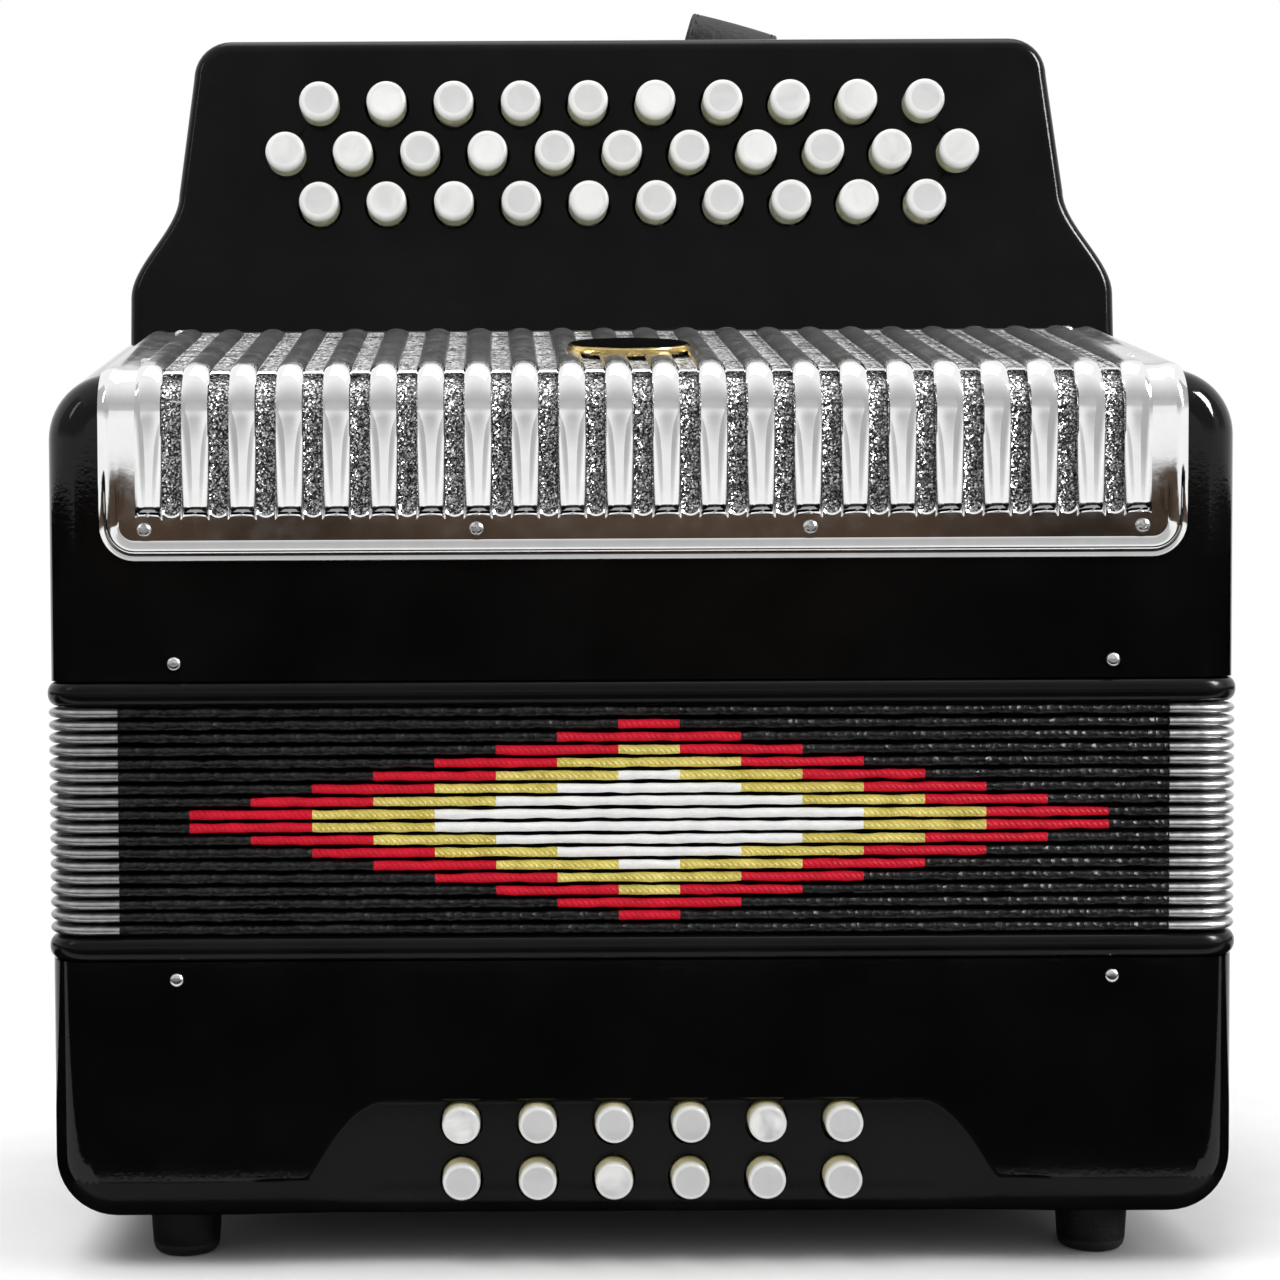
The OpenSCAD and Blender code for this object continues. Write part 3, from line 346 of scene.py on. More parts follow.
def revolve(profile, place, segments=32, closed=False):
    """A profile of (radius, height) turned about the local Z axis and put in place."""
    rings = []
    for r, h in profile:
        rings.append([place @ Vector((r * cos(2 * pi * i / segments), r * sin(2 * pi * i / segments), h))
                      for i in range(segments)])
    return loft(rings, closed)


def box_solid(low, high):
    (x0, y0, z0), (x1, y1, z1) = low, high
    return loft([[(x0, y0, z), (x1, y0, z), (x1, y1, z), (x0, y1, z)] for z in (z0, z1)])


def cutter(tone, verts, faces):
    return Shape().add(verts, faces).build("cutter", [tone])


def rounded_block(low, high, r, place=Matrix(), low_rim=0.3, high_rim=0.6):
    """A block with rounded upright edges and broken rims."""
    (x0, y0, z0), (x1, y1, z1) = low, high
    corners = ((x1 - r, y1 - r, 0), (x0 + r, y1 - r, 90), (x0 + r, y0 + r, 180), (x1 - r, y0 + r, 270))
    rings = []
    for z, d in ((z0, low_rim), (z0 + low_rim, 0), (z1 - high_rim, 0), (z1, high_rim)):
        ring = [p for cx, cy, start in corners for p in arc(cx, cy, r - d, steps(start, start + 90, 4))]
        rings.append([place @ Vector((x, y, z)) for x, y in ring])
    return loft(rings)


def apply_modifiers(obj):
    bpy.context.view_layer.update()
    graph = bpy.context.evaluated_depsgraph_get()
    mesh = bpy.data.meshes.new_from_object(obj.evaluated_get(graph))
    old = obj.data
    obj.modifiers.clear()
    obj.data = mesh
    mesh.name = obj.name
    bpy.data.meshes.remove(old)


def cut(obj, *cutters):
    """Takes cutting solids away from a mesh, applied at once."""
    for solid in cutters:
        mod = obj.modifiers.new("cut", "BOOLEAN")
        mod.operation, mod.solver, mod.object = "DIFFERENCE", "EXACT", solid
    apply_modifiers(obj)
    for solid in cutters:
        bpy.data.meshes.remove(solid.data)


def piece(obj, body, slot, *nodes):
    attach(obj, body)
    if nodes:
        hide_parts(*nodes)


def rounded_path(half_w, half_d, r, corner_steps, gap, marks=()):
    """Closed path round a rectangle with rounded corners, as points with outward normals. The front side,
    which comes first, has its points at the marks, if there are any."""
    def spaced(a, b):
        return steps(a, b, max(int(ceil(abs(b - a) / gap)), 1))

    w, d = half_w - r, half_d - r
    front = sorted({-w, w, *marks}) if marks else spaced(-w, w)
    path = [((x, -half_d), (0, -1)) for x in front]
    corners = (((w, -d), -90, [((half_w, y), (1, 0)) for y in spaced(-d, d)]),
               ((w, d), 0, [((x, half_d), (0, 1)) for x in spaced(w, -w)]),
               ((-w, d), 90, [((-half_w, y), (-1, 0)) for y in spaced(d, -d)]),
               ((-w, -d), 180, []))
    for (cx, cy), start, side in corners:
        for nx, ny in arc(0, 0, 1, steps(start, start + 90, corner_steps)[1:-1]):
            path.append(((cx + r * nx, cy + r * ny), (nx, ny)))
        path += side
    return path


def sweep_profile(path, profile_at, closed=True):
    """Sweeps (outset, z) profiles along a path of points and outward normals."""
    rings = []
    for i, ((x, y), (nx, ny)) in enumerate(path):
        rings.append([(x + nx * o, y + ny * o, z) for o, z in profile_at(i)])
    return loft(rings, closed)


# Camera, with its place in millimetres and its lens in pixels of a square image

CAM_AT = (-38.1, -698.3, 178.6)
CAM_YAW, CAM_PITCH, CAM_ROLL = radians(0.03), radians(2), radians(-0.28)
CAM_F, CAM_PX, CAM_PY, IMAGE, SENSOR = 2411.0, 495.0, 665.0, 1280.0, 36


def add_camera():
    data = bpy.data.cameras.new("camera")
    camera = bpy.data.objects.new("camera", data)
    scene.collection.objects.link(camera)
    forward = Vector((sin(CAM_YAW) * cos(CAM_PITCH), cos(CAM_YAW) * cos(CAM_PITCH), -sin(CAM_PITCH)))
    level = Vector((cos(CAM_YAW), -sin(CAM_YAW), 0))
    upright = level.cross(forward)
    right = level * cos(CAM_ROLL) + upright * sin(CAM_ROLL)
    up = upright * cos(CAM_ROLL) - level * sin(CAM_ROLL)
    turn = Matrix((right, up, -forward)).transposed().to_4x4()
    camera.matrix_world = Matrix.Translation(Vector(CAM_AT) * MM) @ turn
    data.sensor_width = SENSOR
    data.lens = CAM_F / IMAGE * SENSOR
    data.shift_x = (IMAGE / 2 - CAM_PX) / IMAGE
    data.shift_y = (CAM_PY - IMAGE / 2) / IMAGE
    data.clip_start, data.clip_end = 0.01, 100
    scene.camera = camera


add_camera()
scene.view_settings.view_transform = "Standard"


# World and lamps, in metres

def background_rays(look):
    """1 for rays that show the background, seen straight or in a reflection."""
    rays = look.node("LightPath")
    both = {0: rays.outputs["Is Camera Ray"], 1: rays.outputs["Is Glossy Ray"]}
    return look.node("Math", both, operation="MAXIMUM").outputs[0]


def add_world():
    """White where it is seen, and a soft light from above for everything else."""
    look = Look(bpy.data.worlds.new("studio"), "Background")
    scene.world = look.owner
    height = look.node("SeparateXYZ", {"Vector": look.node("TexCoord").outputs["Generated"]})
    soft = look.node("MapRange", {"Value": height.outputs["Z"], "From Min": -0.1, "From Max": 0.9,
                                  "To Min": 0.1, "To Max": 0.95})
    strength = look.node("MapRange", {"Value": background_rays(look), "To Min": soft.outputs["Result"],
                                      "To Max": 1.0})
    look.feed(look.shader, {"Color": (1, 1, 1, 1), "Strength": strength.outputs["Result"]})


def area_light(name, at, target, size, power):
    data = bpy.data.lights.new(name, "AREA")
    data.shape = "RECTANGLE"
    data.size, data.size_y = size
    data.energy = power
    lamp = bpy.data.objects.new(name, data)
    scene.collection.objects.link(lamp)
    lamp.location = at
    lamp.rotation_euler = (Vector(target) - Vector(at)).to_track_quat("-Z", "Y").to_euler()
    return lamp


add_world()
area_light("key", (-0.7, -1.2, 2.0), (0, 0, 0.16), (1.3, 0.9), 25).visible_glossy = False
area_light("fill", (1.6, -0.9, 1.3), (0, 0, 0.16), (1.0, 1.0), 9).visible_glossy = False
area_light("top", (0.1, 0.25, 2.1), (0, 0, 0.2), (1.6, 1.2), 14)
area_light("glint_right", (1.85, -0.9, 1.25), (0.1, 0, 0.3), (0.5, 1.5), 130).visible_diffuse = False
area_light("glint_left", (-1.85, -0.9, 1.25), (-0.1, 0, 0.3), (0.2, 1.2), 4).visible_diffuse = False


# Studio cards that only reflections see, in metres

CARD_X, CARD_Y, CARD_BACK, CARD_MIDDLE = 1.9, -2.4, 1.6, 0.85
CARD_FOOT, DARK_TOP, DARK_SIDE_TOP = -0.1, 0.31, 0.27
CARD_LOW, CARD_HIGH, CEILING_RISE, CEILING_BACK, GREY_BACK = 0.4, 2.2, 0.4, -0.9, 0.1
CARD_FLOOR, FAR_BACK, LOW_BACK, UNDER_FRONT, UNDER_BACK = 0.003, -0.62, -0.178, -0.092, 0.1


def card(name, corners, tone):
    obj = Shape().add([(a / MM, b / MM, c / MM) for a, b, c in corners], [(0, 1, 2, 3)]).build(name, [tone])
    obj.visible_camera = obj.visible_diffuse = obj.visible_shadow = obj.visible_transmission = False


def upright_card(name, x0, y0, x1, y1, z0, z1, tone):
    card(name, [(x0, y0, z0), (x1, y1, z0), (x1, y1, z1), (x0, y0, z1)], tone)


def level_card(name, y0, y1, z0, z1, tone):
    card(name, [(-CARD_X, y0, z0), (CARD_X, y0, z0), (CARD_X, y1, z1), (-CARD_X, y1, z1)], tone)


def card_tone(name, stops, patches=0.0, low=0.0, high=1.0):
    """A glow that changes with height from low to high, with faint patches."""
    look = material(name)
    height = look.node("SeparateXYZ", {"Vector": look.vector})
    rise = look.node("MapRange", {"Value": height.outputs["Z"], "From Min": low, "From Max": high})
    level = look.node("Math", {0: look.noise(1.6, 3, 0.6), 1: patches, 2: rise.outputs["Result"]},
                      operation="MULTIPLY_ADD")
    look.feed(look.shader, {"Emission Color": look.ramp(level.outputs[0], stops), "Emission Strength": 1,
                            "Base Color": (0, 0, 0, 1), "Specular IOR Level": 0})
    return look.owner


DARK_CARD = card_tone("card_dark", [(0.62, 0.004), (0.95, (0.07, 0.045, 0.03))], 1.2)
BLACK_CARD = card_tone("card_black", [(0.3, 0.002), (0.7, 0.006)], 0.5)
WHITE_CARD = card_tone("card_white", [(0.0, 0.98), (0.12, 0.9), (0.2, 0.55), (0.5, 0.48), (1.0, 0.6)],
                       0, CARD_LOW, CARD_HIGH)
GREY_CARD = card_tone("card_grey", [(0.0, 0.92), (0.05, 0.66), (0.13, 0.46), (0.5, 0.46), (1.0, 0.6)],
                      0, CARD_LOW, CARD_HIGH)
FAR_CARD = card_tone("card_far", [(0.3, 0.4), (0.7, 0.5)], 0.5)
CEILING_CARD = card_tone("card_ceiling", [(0.0, 0.6), (1.0, 0.98)], 0, CARD_HIGH, CARD_HIGH + CEILING_RISE)

upright_card("dark_card", -CARD_X, CARD_Y, CARD_X, CARD_Y, CARD_FOOT, DARK_TOP, DARK_CARD)
upright_card("white_card", -CARD_MIDDLE, CARD_Y, CARD_MIDDLE, CARD_Y, CARD_LOW, CARD_HIGH, WHITE_CARD)
for side, sx in (("left", -1), ("right", 1)):
    x, near_x = sx * CARD_X, sx * CARD_MIDDLE
    upright_card(f"dark_card_{side}", x, CARD_Y, x, CARD_BACK, CARD_FOOT, DARK_SIDE_TOP, BLACK_CARD)
    upright_card(f"grey_card_{side}", x, CARD_Y, x, GREY_BACK, CARD_LOW, CARD_HIGH, GREY_CARD)
    upright_card(f"front_card_{side}", near_x, CARD_Y, x, CARD_Y, CARD_LOW, CARD_HIGH, GREY_CARD)
level_card("low_card", FAR_BACK, LOW_BACK, CARD_FLOOR, CARD_FLOOR, BLACK_CARD)
level_card("far_card", CARD_Y, FAR_BACK, CARD_FLOOR, CARD_FLOOR, FAR_CARD)
# A black card under the body, where the floor lies in its shadow: painted shade for reflections in the
# casing's lower edges
level_card("under_shade_card", UNDER_FRONT, UNDER_BACK, CARD_FLOOR, CARD_FLOOR, BLACK_CARD)
level_card("ceiling_card", CARD_Y, CEILING_BACK, CARD_HIGH, CARD_HIGH + CEILING_RISE, CEILING_CARD)


# Floor

FLOOR_X, FLOOR_FRONT, FLOOR_BACK = 6000, -4000, 6000
SHADOW_NEAR, SHADOW_FAR = 0.14, 0.5


def floor_tone():
    """Takes the shadow near the object, and turns into plain white further out where it is seen."""
    look = material("pale_floor")
    look.feed(look.shader, {"Base Color": look.ramp(look.noise(30, 3), [(0.3, 0.87), (0.7, 0.91)]),
                            "Roughness": 0.9, "Specular IOR Level": 0.1})
    glow = look.node("Emission", {"Color": (1, 1, 1, 1)})
    reach = look.node("VectorMath", {0: look.vector}, operation="LENGTH")
    fade = look.node("MapRange", {"From Min": SHADOW_NEAR, "From Max": SHADOW_FAR,
                                  "Value": reach.outputs["Value"]}, interpolation_type="SMOOTHSTEP")
    share = look.node("Math", {0: fade.outputs["Result"], 1: background_rays(look)}, operation="MULTIPLY")
    surface = look.node("MixShader", {"Fac": share.outputs[0], 1: look.shader.outputs["BSDF"],
                                      2: glow.outputs["Emission"]})
    look.feed(look.tree.nodes["Material Output"], {"Surface": surface.outputs["Shader"]})
    return look.owner


floor_corners = [(-FLOOR_X, FLOOR_FRONT, 0), (FLOOR_X, FLOOR_FRONT, 0),
                 (FLOOR_X, FLOOR_BACK, 0), (-FLOOR_X, FLOOR_BACK, 0)]
floor = Shape().add(floor_corners, [(0, 1, 2, 3)]).build("floor", [floor_tone()])


# Treble casing

BEND_C = (FRONT_Y + BEND_R, BEND_Z + BEND_R * tan(SLOPE) - BEND_R / cos(SLOPE))
TREBLE_DEPTHS = (-72, -60, -40, -20, 0, BOARD_Y, 20, 40, 60, 72)
PLATE_T, AXLE_DROP, DECK_DROP = 4.0, 8.0, 42.5
AXLE = (BOARD_Y + PLATE_T / 2 * cos(LEAN) - AXLE_DROP * sin(LEAN),
        BOARD_Z - PLATE_T / 2 * sin(LEAN) - AXLE_DROP * cos(LEAN))
DECK_Z = AXLE[1] - DECK_DROP
SLOTS, SLOT_PITCH = 21, 11.95
WINDOW_HALF, WINDOW_BACK = SLOTS * SLOT_PITCH / 2 - 2.5, BOARD_Y + 28
CUT_PAST, WINDOW_TOP = 4, 400


def mirrored(half):
    """A right half that ends on the middle line, followed by its left half."""
    return half + [(-x, z) for x, z in reversed(half[:-1])]


def depth_stations(inset, middle):
    """(y, how far the sides are set in) from front to back, with both upright edges rounded."""
    edge = quarter(EDGE_R - inset, 12)
    stations = [(FRONT_Y + inset + d, side) for d, side in edge]
    stations += [(y, 0.0) for y in middle]
    return stations + [(BACK_Y - inset - d, side) for d, side in reversed(edge)]


def treble_top(y, inset):
    """Height of the casing's top over a place in its depth, with the bend and the rounded back."""
    r = BEND_R - inset
    if y < BEND_C[0] - r * sin(SLOPE):
        return BEND_C[1] + sqrt(max(r * r - (y - BEND_C[0]) ** 2, 0))
    slope = BEND_Z + (y - FRONT_Y) * tan(SLOPE) - inset / cos(SLOPE)
    top = min(slope, BOARD_Z - inset)
    r = EDGE_R - inset
    back = BACK_Y - inset - r
    if y > back:
        top -= r - sqrt(max(r * r - (y - back) ** 2, 0))
    return top


def treble_rings(inset, low):
    rings = []
    for y, d in depth_stations(inset, TREBLE_DEPTHS):
        w, top, r = HALF_W - inset - d, treble_top(y, inset), max(SHOULDER_R - inset - d, LEAST_R)
        half = [(w, z) for z in steps(low, top - r, 10)]
        half += arc(w - r, top - r, r, steps(0, 90, 14)[1:])
        half += [(x, top) for x in steps(w - r, 0, 6)[1:]]
        rings.append([(x, y, z) for x, z in mirrored(half)])
    return rings


casing = Shape().add(*loft(treble_rings(0, TREBLE_Z0))).build("treble_shell", [CASE])
hollow = cutter(CASE, *loft(treble_rings(WALL, TREBLE_Z0 - CUT_PAST)))
window = cutter(CASE, *box_solid((-WINDOW_HALF, FRONT_Y - CUT_PAST, DECK_Z + 1),
                                 (WINDOW_HALF, WINDOW_BACK, WINDOW_TOP)))
cut(casing, hollow, window)
shade(casing, 28)
flatten(casing, Vector((0, -1, 0)))
piece(casing, "treble_end", "black_case", "treble_casing")


# Fingerboard, in a local frame of width x, depth u behind its face and height v

BASE_HALF, WAIST_HALF, TOP_HALF = 144.0, 130.0, 124.3
FLANK_LOW, FLANK_HIGH, BOARD_CORNER = 12.5, 43.0, 11.0
BOARD_WALL, BOARD_EDGE, HOLLOW_EDGE = 3.5, 4.0, 1.5
BOARD_SINK, HOLLOW_SINK, SEAM = 15, 30, 0.1
HOLE_R, HOLE_MOUTH_R, HOLE_MOUTH = 6.5, 6.8, 0.3
ROW_COUNTS = (10, 11, 10)
BOARD_PLACE = seat((0, BOARD_Y, BOARD_Z), -BOARD_LEAN)


def flank_half(v):
    if v < FLANK_LOW:
        return BASE_HALF
    if v < FLANK_HIGH:
        return lerp(BASE_HALF, WAIST_HALF, smooth((v - FLANK_LOW) / (FLANK_HIGH - FLANK_LOW)))
    return lerp(WAIST_HALF, TOP_HALF, (v - FLANK_HIGH) / (BOARD_H - FLANK_HIGH))


def board_outline(inset, low):
    """Outline set in by a distance, from the foot of the right flank over the top to the left one."""
    r = BOARD_CORNER
    cx, cv = flank_half(BOARD_H - r) - r, BOARD_H - r
    heights = [low, 0] + steps(FLANK_LOW, FLANK_HIGH, 18) + steps(50, cv - 1, 5)
    half = [(flank_half(v), v) for v in heights]
    tilt = degrees(atan((WAIST_HALF - TOP_HALF) / (BOARD_H - FLANK_HIGH)))
    half += arc(cx, cv, r, steps(tilt, 90, 8))
    half += [(x, BOARD_H) for x in steps(cx, 0, 5)[1:]]
    points = []
    for i, (x, v) in enumerate(half):
        a, b = half[max(i - 1, 0)], half[min(i + 1, len(half) - 1)]
        dx, dv = b[0] - a[0], b[1] - a[1]
        length = hypot(dx, dv)
        points.append((x - inset * dv / length, v + inset * dx / length))
    points[-1] = (0, BOARD_H - inset)
    return mirrored(points)


def board_rings(u0, u1, inset, low, edge):
    rounding = quarter(edge, 7)
    stations = [(u0 + d, inset + side) for d, side in rounding]
    stations += [(u1 - d, inset + side) for d, side in reversed(rounding)]
    return [[BOARD_PLACE @ Vector((x, u, v)) for x, v in board_outline(d, low)] for u, d in stations]


def treble_place(k):
    """Row of a treble key and its place along the row."""
    row = 0
    while k >= ROW_COUNTS[row]:
        k -= ROW_COUNTS[row]
        row += 1
    return row, (k - (ROW_COUNTS[row] - 1) / 2) * BUTTON_PITCH


def button_seat(k, depth):
    """Local frame of a treble button's axis, pointing into the board from a depth."""
    row, x = treble_place(k)
    return BOARD_PLACE @ seat((x, depth, FIRST_ROW + row * ROW_PITCH), -90)


def button_holes():
    profile = [(HOLE_MOUTH_R, -1.0), (HOLE_MOUTH_R, 0.0), (HOLE_R, HOLE_MOUTH), (HOLE_R, PLATE_T + 1)]
    holes = Shape()
    for k in range(TREBLE_KEYS):
        holes.add(*revolve(profile, button_seat(k, 0), 40))
    return holes.build("cutter", [BOARD])


def casing_top():
    """The casing's top and shoulders, on which the board stands."""
    r = SHOULDER_R
    half = [(HALF_W + 1, 60), (HALF_W + 1, BOARD_Z - r)]
    half += arc(HALF_W - r, BOARD_Z - r, r + SEAM, steps(0, 90, 14))
    ring = half + [(-x, z) for x, z in reversed(half)]
    return cutter(BOARD, *loft([[(x, y, z) for x, z in ring] for y in (-200, 200)]))


board = Shape().add(*loft(board_rings(0, BOARD_T, 0, -BOARD_SINK, BOARD_EDGE)))
board = board.build("fingerboard_shell", [BOARD])
inside = board_rings(PLATE_T, BOARD_T - BOARD_WALL, BOARD_WALL, -HOLLOW_SINK, HOLLOW_EDGE)
cut(board, cutter(BOARD, *loft(inside)), button_holes(), casing_top())
shade(board, 28)
flatten(board, BOARD_PLACE.to_3x3() @ Vector((0, -1, 0)))
piece(board, "treble_end", "black_fingerboard", "fingerboard")


# Grille: its points are (x, s, h), with s the length up the front, over the bend and along the slope

GRILLE_HALF, GRILLE_Z0, GRILLE_CORNER = 138.2, BEND_Z - 46.5, 9.2
GRILLE_FLAT = GRILLE_HALF - GRILLE_CORNER
SHEET_IN, SHEET_OUT, END_DROP = 0.5, 1.7, 0.4
SLOT_W, SLOT_RISE, SLOT_DROP, LIP_W = 4.7, 11.5, 0.35, 0.5
SLOT_HALF, BAR_HALF = SLOT_W / 2, (SLOT_PITCH - SLOT_W) / 2 - 0.35
BAR_RISE, BAR_STEP, BAR_END_LEN, BAR_ROUND, BEND_SWELL = 1.6, 0.2, 1.3, 2.6, 1.0
BAR_LEAN_LOW, BAR_LEAN_HIGH = tan(radians(1)), tan(radians(5.2))
BAR_STATIONS = both_ways((0, 0.25, 0.5, 0.74, 0.9, 1))
SLOT_STATIONS = both_ways((0, 0.38, 0.7, 0.88, 0.97, 1))
BADGE_W, BADGE_L, BADGE_X, BADGE_Y = 16.5, 14.0, -1.0, -42.0
CLEAR_FRONT, CLEAR_OUT, CLEAR_BACK = 9, 7, 5
LEN_FRONT = BEND_C[1] - GRILLE_Z0
LEN_BEND = BEND_R * (pi / 2 - SLOPE)
BEND_END = LEN_FRONT + LEN_BEND
SLOPE_START = (BEND_C[0] - BEND_R * sin(SLOPE), BEND_C[1] + BEND_R * cos(SLOPE))


def on_path(s, h):
    """Point (y, z) at a length along the grille, raised by h."""
    if s < LEN_FRONT:
        return FRONT_Y - h, GRILLE_Z0 + s
    if s < BEND_END:
        a = pi - (s - LEN_FRONT) / BEND_R
        return BEND_C[0] + (BEND_R + h) * cos(a), BEND_C[1] + (BEND_R + h) * sin(a)
    s -= BEND_END
    return (SLOPE_START[0] + s * cos(SLOPE) - h * sin(SLOPE),
            SLOPE_START[1] + s * sin(SLOPE) + h * cos(SLOPE))


def slope_s(y):
    return BEND_END + (y - SLOPE_START[0]) / cos(SLOPE)


GRILLE_END, SLOT_END = slope_s(BOARD_Y - 0.3), slope_s(BOARD_Y - 4.3)
# The second length marks where the slope's colours start: painted shade on the grille's chrome, painted
# light on the cloth
BAR_START, PAINTED_SLOPE_FROM = SLOT_RISE - 0.3, BEND_END - 3
FRONT_CROSSBAR, SLOPE_CROSSBAR = (48.0, 48.9), (slope_s(-42.2), slope_s(-41.0))
EDGE_STEPS = ((0.0, 0.9), (0.1, 1.25), (0.3, 1.45), (0.8, 1.4), (1.3, 1.3), (1.45, 1.05), (1.7, 1.05),
              (1.85, 1.6), (2.05, 2.0), (2.35, 2.2), (2.8, 2.22), (3.4, 2.15), (4.0, 2.05), (4.6, 1.93),
              (5.1, 1.8), (5.25, 1.7), (6.2, 1.7), (8.0, 1.7), (GRILLE_CORNER, 1.7))
ROLL_LOW, ROLL_RISE, ROLL_W, ROLL_DROP, ROLL_OUT, ROLL_FROM = 0.9, 1.3, 3.4, 0.5, 2.8, 14

# Rows up the grille. From the lip's row on, the rows over the bars' lower ends run round the slots' ends.
LOW_ROWS = [GRILLE_CORNER, 10.3]
BAR_ROWS = [BAR_START + d for d in (-0.3, 0, 0.1, 0.3, 0.7, 1.4, 2.8)]
LIP_ROW, ARC_ROW, ARC_S = 2, 3, SLOT_RISE + SLOT_HALF
ABOVE_ARC = (0.05, 0.3, 0.9, 1.4, 1.9)


def upper_rows():
    rows = steps(17, LEN_FRONT, 12) + steps(LEN_FRONT, BEND_END, 12)[1:]
    rows = [s for s in rows if all(abs(s - c) > 0.4 for c in FRONT_CROSSBAR)] + list(FRONT_CROSSBAR)
    rows += steps(BEND_END, SLOPE_CROSSBAR[0], 7)[1:] + [SLOPE_CROSSBAR[1]]
    rows += steps(SLOPE_CROSSBAR[1], SLOT_END, 8)[1:] + [SLOT_END + 0.2, GRILLE_END - 0.6, GRILLE_END]
    return sorted(rows)


ROWS = LOW_ROWS + BAR_ROWS + upper_rows()
OPEN_BANDS = ((ARC_S, FRONT_CROSSBAR[0]), (FRONT_CROSSBAR[1], SLOPE_CROSSBAR[0]),
              (SLOPE_CROSSBAR[1], SLOT_END))


def grille_columns():
    """(x, kind, t) across the grille, with t from -1 to 1 across each bar and each slot."""
    columns = [(-GRILLE_FLAT, "edge", 0)]
    for i in range(SLOTS + 1):
        middle = (i - SLOTS / 2) * SLOT_PITCH
        columns += [(middle + t * BAR_HALF, "bar", t) for t in BAR_STATIONS]
        if i < SLOTS:
            middle += SLOT_PITCH / 2
            columns += [(middle + t * SLOT_HALF, "slot", t) for t in SLOT_STATIONS]
    return columns + [(GRILLE_FLAT, "edge", 0)]


COLUMNS = grille_columns()


def row_place(j, kind, t):
    if kind != "slot" or not LIP_ROW <= j < LIP_ROW + len(BAR_ROWS):
        return ROWS[j]
    if j > ARC_ROW:
        return ARC_S + ABOVE_ARC[j - ARC_ROW - 1]
    r = SLOT_HALF + (LIP_W if j < ARC_ROW else 0)
    return ARC_S - sqrt(max(r * r - (t * SLOT_HALF) ** 2, 0))


def bar_height(t, s):
    """How far a bar stands up, t from -1 to 1 across it: a rounded ridge that leans back more and more."""
    if s <= BAR_START or s > SLOT_END:
        return 0.0
    length = LEN_FRONT - BAR_START
    u = min((s - BAR_START) / length, 1)
    rise = BAR_RISE - length * (BAR_LEAN_LOW * u + (BAR_LEAN_HIGH - BAR_LEAN_LOW) * u * u / 2)
    rise += BEND_SWELL * smooth((s - LEN_FRONT) / LEN_BEND)
    ending = min((s - BAR_START) / BAR_END_LEN, 1)
    return rise * sqrt(1 - (1 - ending) ** 2) * (1 - abs(t) ** BAR_ROUND)


def badge_clear(x, s):
    """The bars run out flat in front of the badge and under it."""
    if abs(x - BADGE_X) > BADGE_W + 1:
        return 1.0
    front, back = slope_s(BADGE_Y - BADGE_L), slope_s(BADGE_Y + BADGE_L)
    fading_out = smooth((s - front + CLEAR_FRONT) / CLEAR_OUT)
    return 1 - fading_out * (1 - smooth((s - back) / CLEAR_BACK))


def grille_height(j, x, kind, t, s):
    h = SHEET_OUT
    if kind == "bar":
        h += bar_height(t, s) * badge_clear(x, s)
        if BAR_START < s < SLOT_END and abs(x) < GRILLE_FLAT - 1:
            h += BAR_STEP
    elif kind == "slot" and j >= ARC_ROW and s < SLOT_END and (j == ARC_ROW or abs(t) == 1):
        h -= SLOT_DROP
    return h - (END_DROP if s == GRILLE_END else 0)


def slot_open(i, j):
    """Whether the grille is open between two columns and two rows."""
    if j < ARC_ROW or not COLUMNS[i][1] == COLUMNS[i + 1][1] == "slot":
        return False
    middle = (row_place(j, "slot", 1) + row_place(j + 1, "slot", 1)) / 2
    return any(a <= middle <= b for a, b in OPEN_BANDS)


def grid_faces(across, along):
    """Faces between points that lie row after row."""
    return [(j * across + i, j * across + i + 1, (j + 1) * across + i + 1, (j + 1) * across + i)
            for j in range(along - 1) for i in range(across - 1)]


def grille_field():
    """Points and faces of bars and crossbars, with the slots left open."""
    points, n = [], len(COLUMNS)
    for j in range(len(ROWS)):
        for x, kind, t in COLUMNS:
            s = row_place(j, kind, t)
            points.append((x, s, grille_height(j, x, kind, t, s)))
    return points, [f for f in grid_faces(n, len(ROWS)) if not slot_open(f[0] % n, f[0] // n)]


def rim_point(kind, side, value, d, h):
    """Point of the rim at a distance d from its edge: value is a length, an angle or a place across."""
    if kind == "low":
        return value, d, h
    if kind == "corner":
        x, s = arc(side * GRILLE_FLAT, GRILLE_CORNER, GRILLE_CORNER - d, [value])[0]
        return x, s, h
    roll = ROLL_LOW + ROLL_RISE * sin(min(d / ROLL_W, 1) * pi / 2)
    roll -= ROLL_DROP * smooth((d - ROLL_W) / ROLL_OUT)
    h = lerp(h, roll, smooth((value - GRILLE_CORNER) / ROLL_FROM))
    return side * (GRILLE_HALF - d), value, h - (END_DROP if value == GRILLE_END else 0)


def grille_rim():
    """Points and faces of the rim: down one side, along the lower edge and up the other side."""
    path = [("side", -1, s) for s in reversed(ROWS)]
    path += [("corner", -1, a) for a in steps(180, 270, 10)[1:-1]]
    path += [("low", 0, x) for x, kind, t in COLUMNS]
    path += [("corner", 1, a) for a in steps(270, 360, 10)[1:-1]]
    path += [("side", 1, s) for s in ROWS]
    points = [rim_point(*station, d, h) for station in path for d, h in EDGE_STEPS]
    return points, [f[::-1] for f in grid_faces(len(EDGE_STEPS), len(path))]


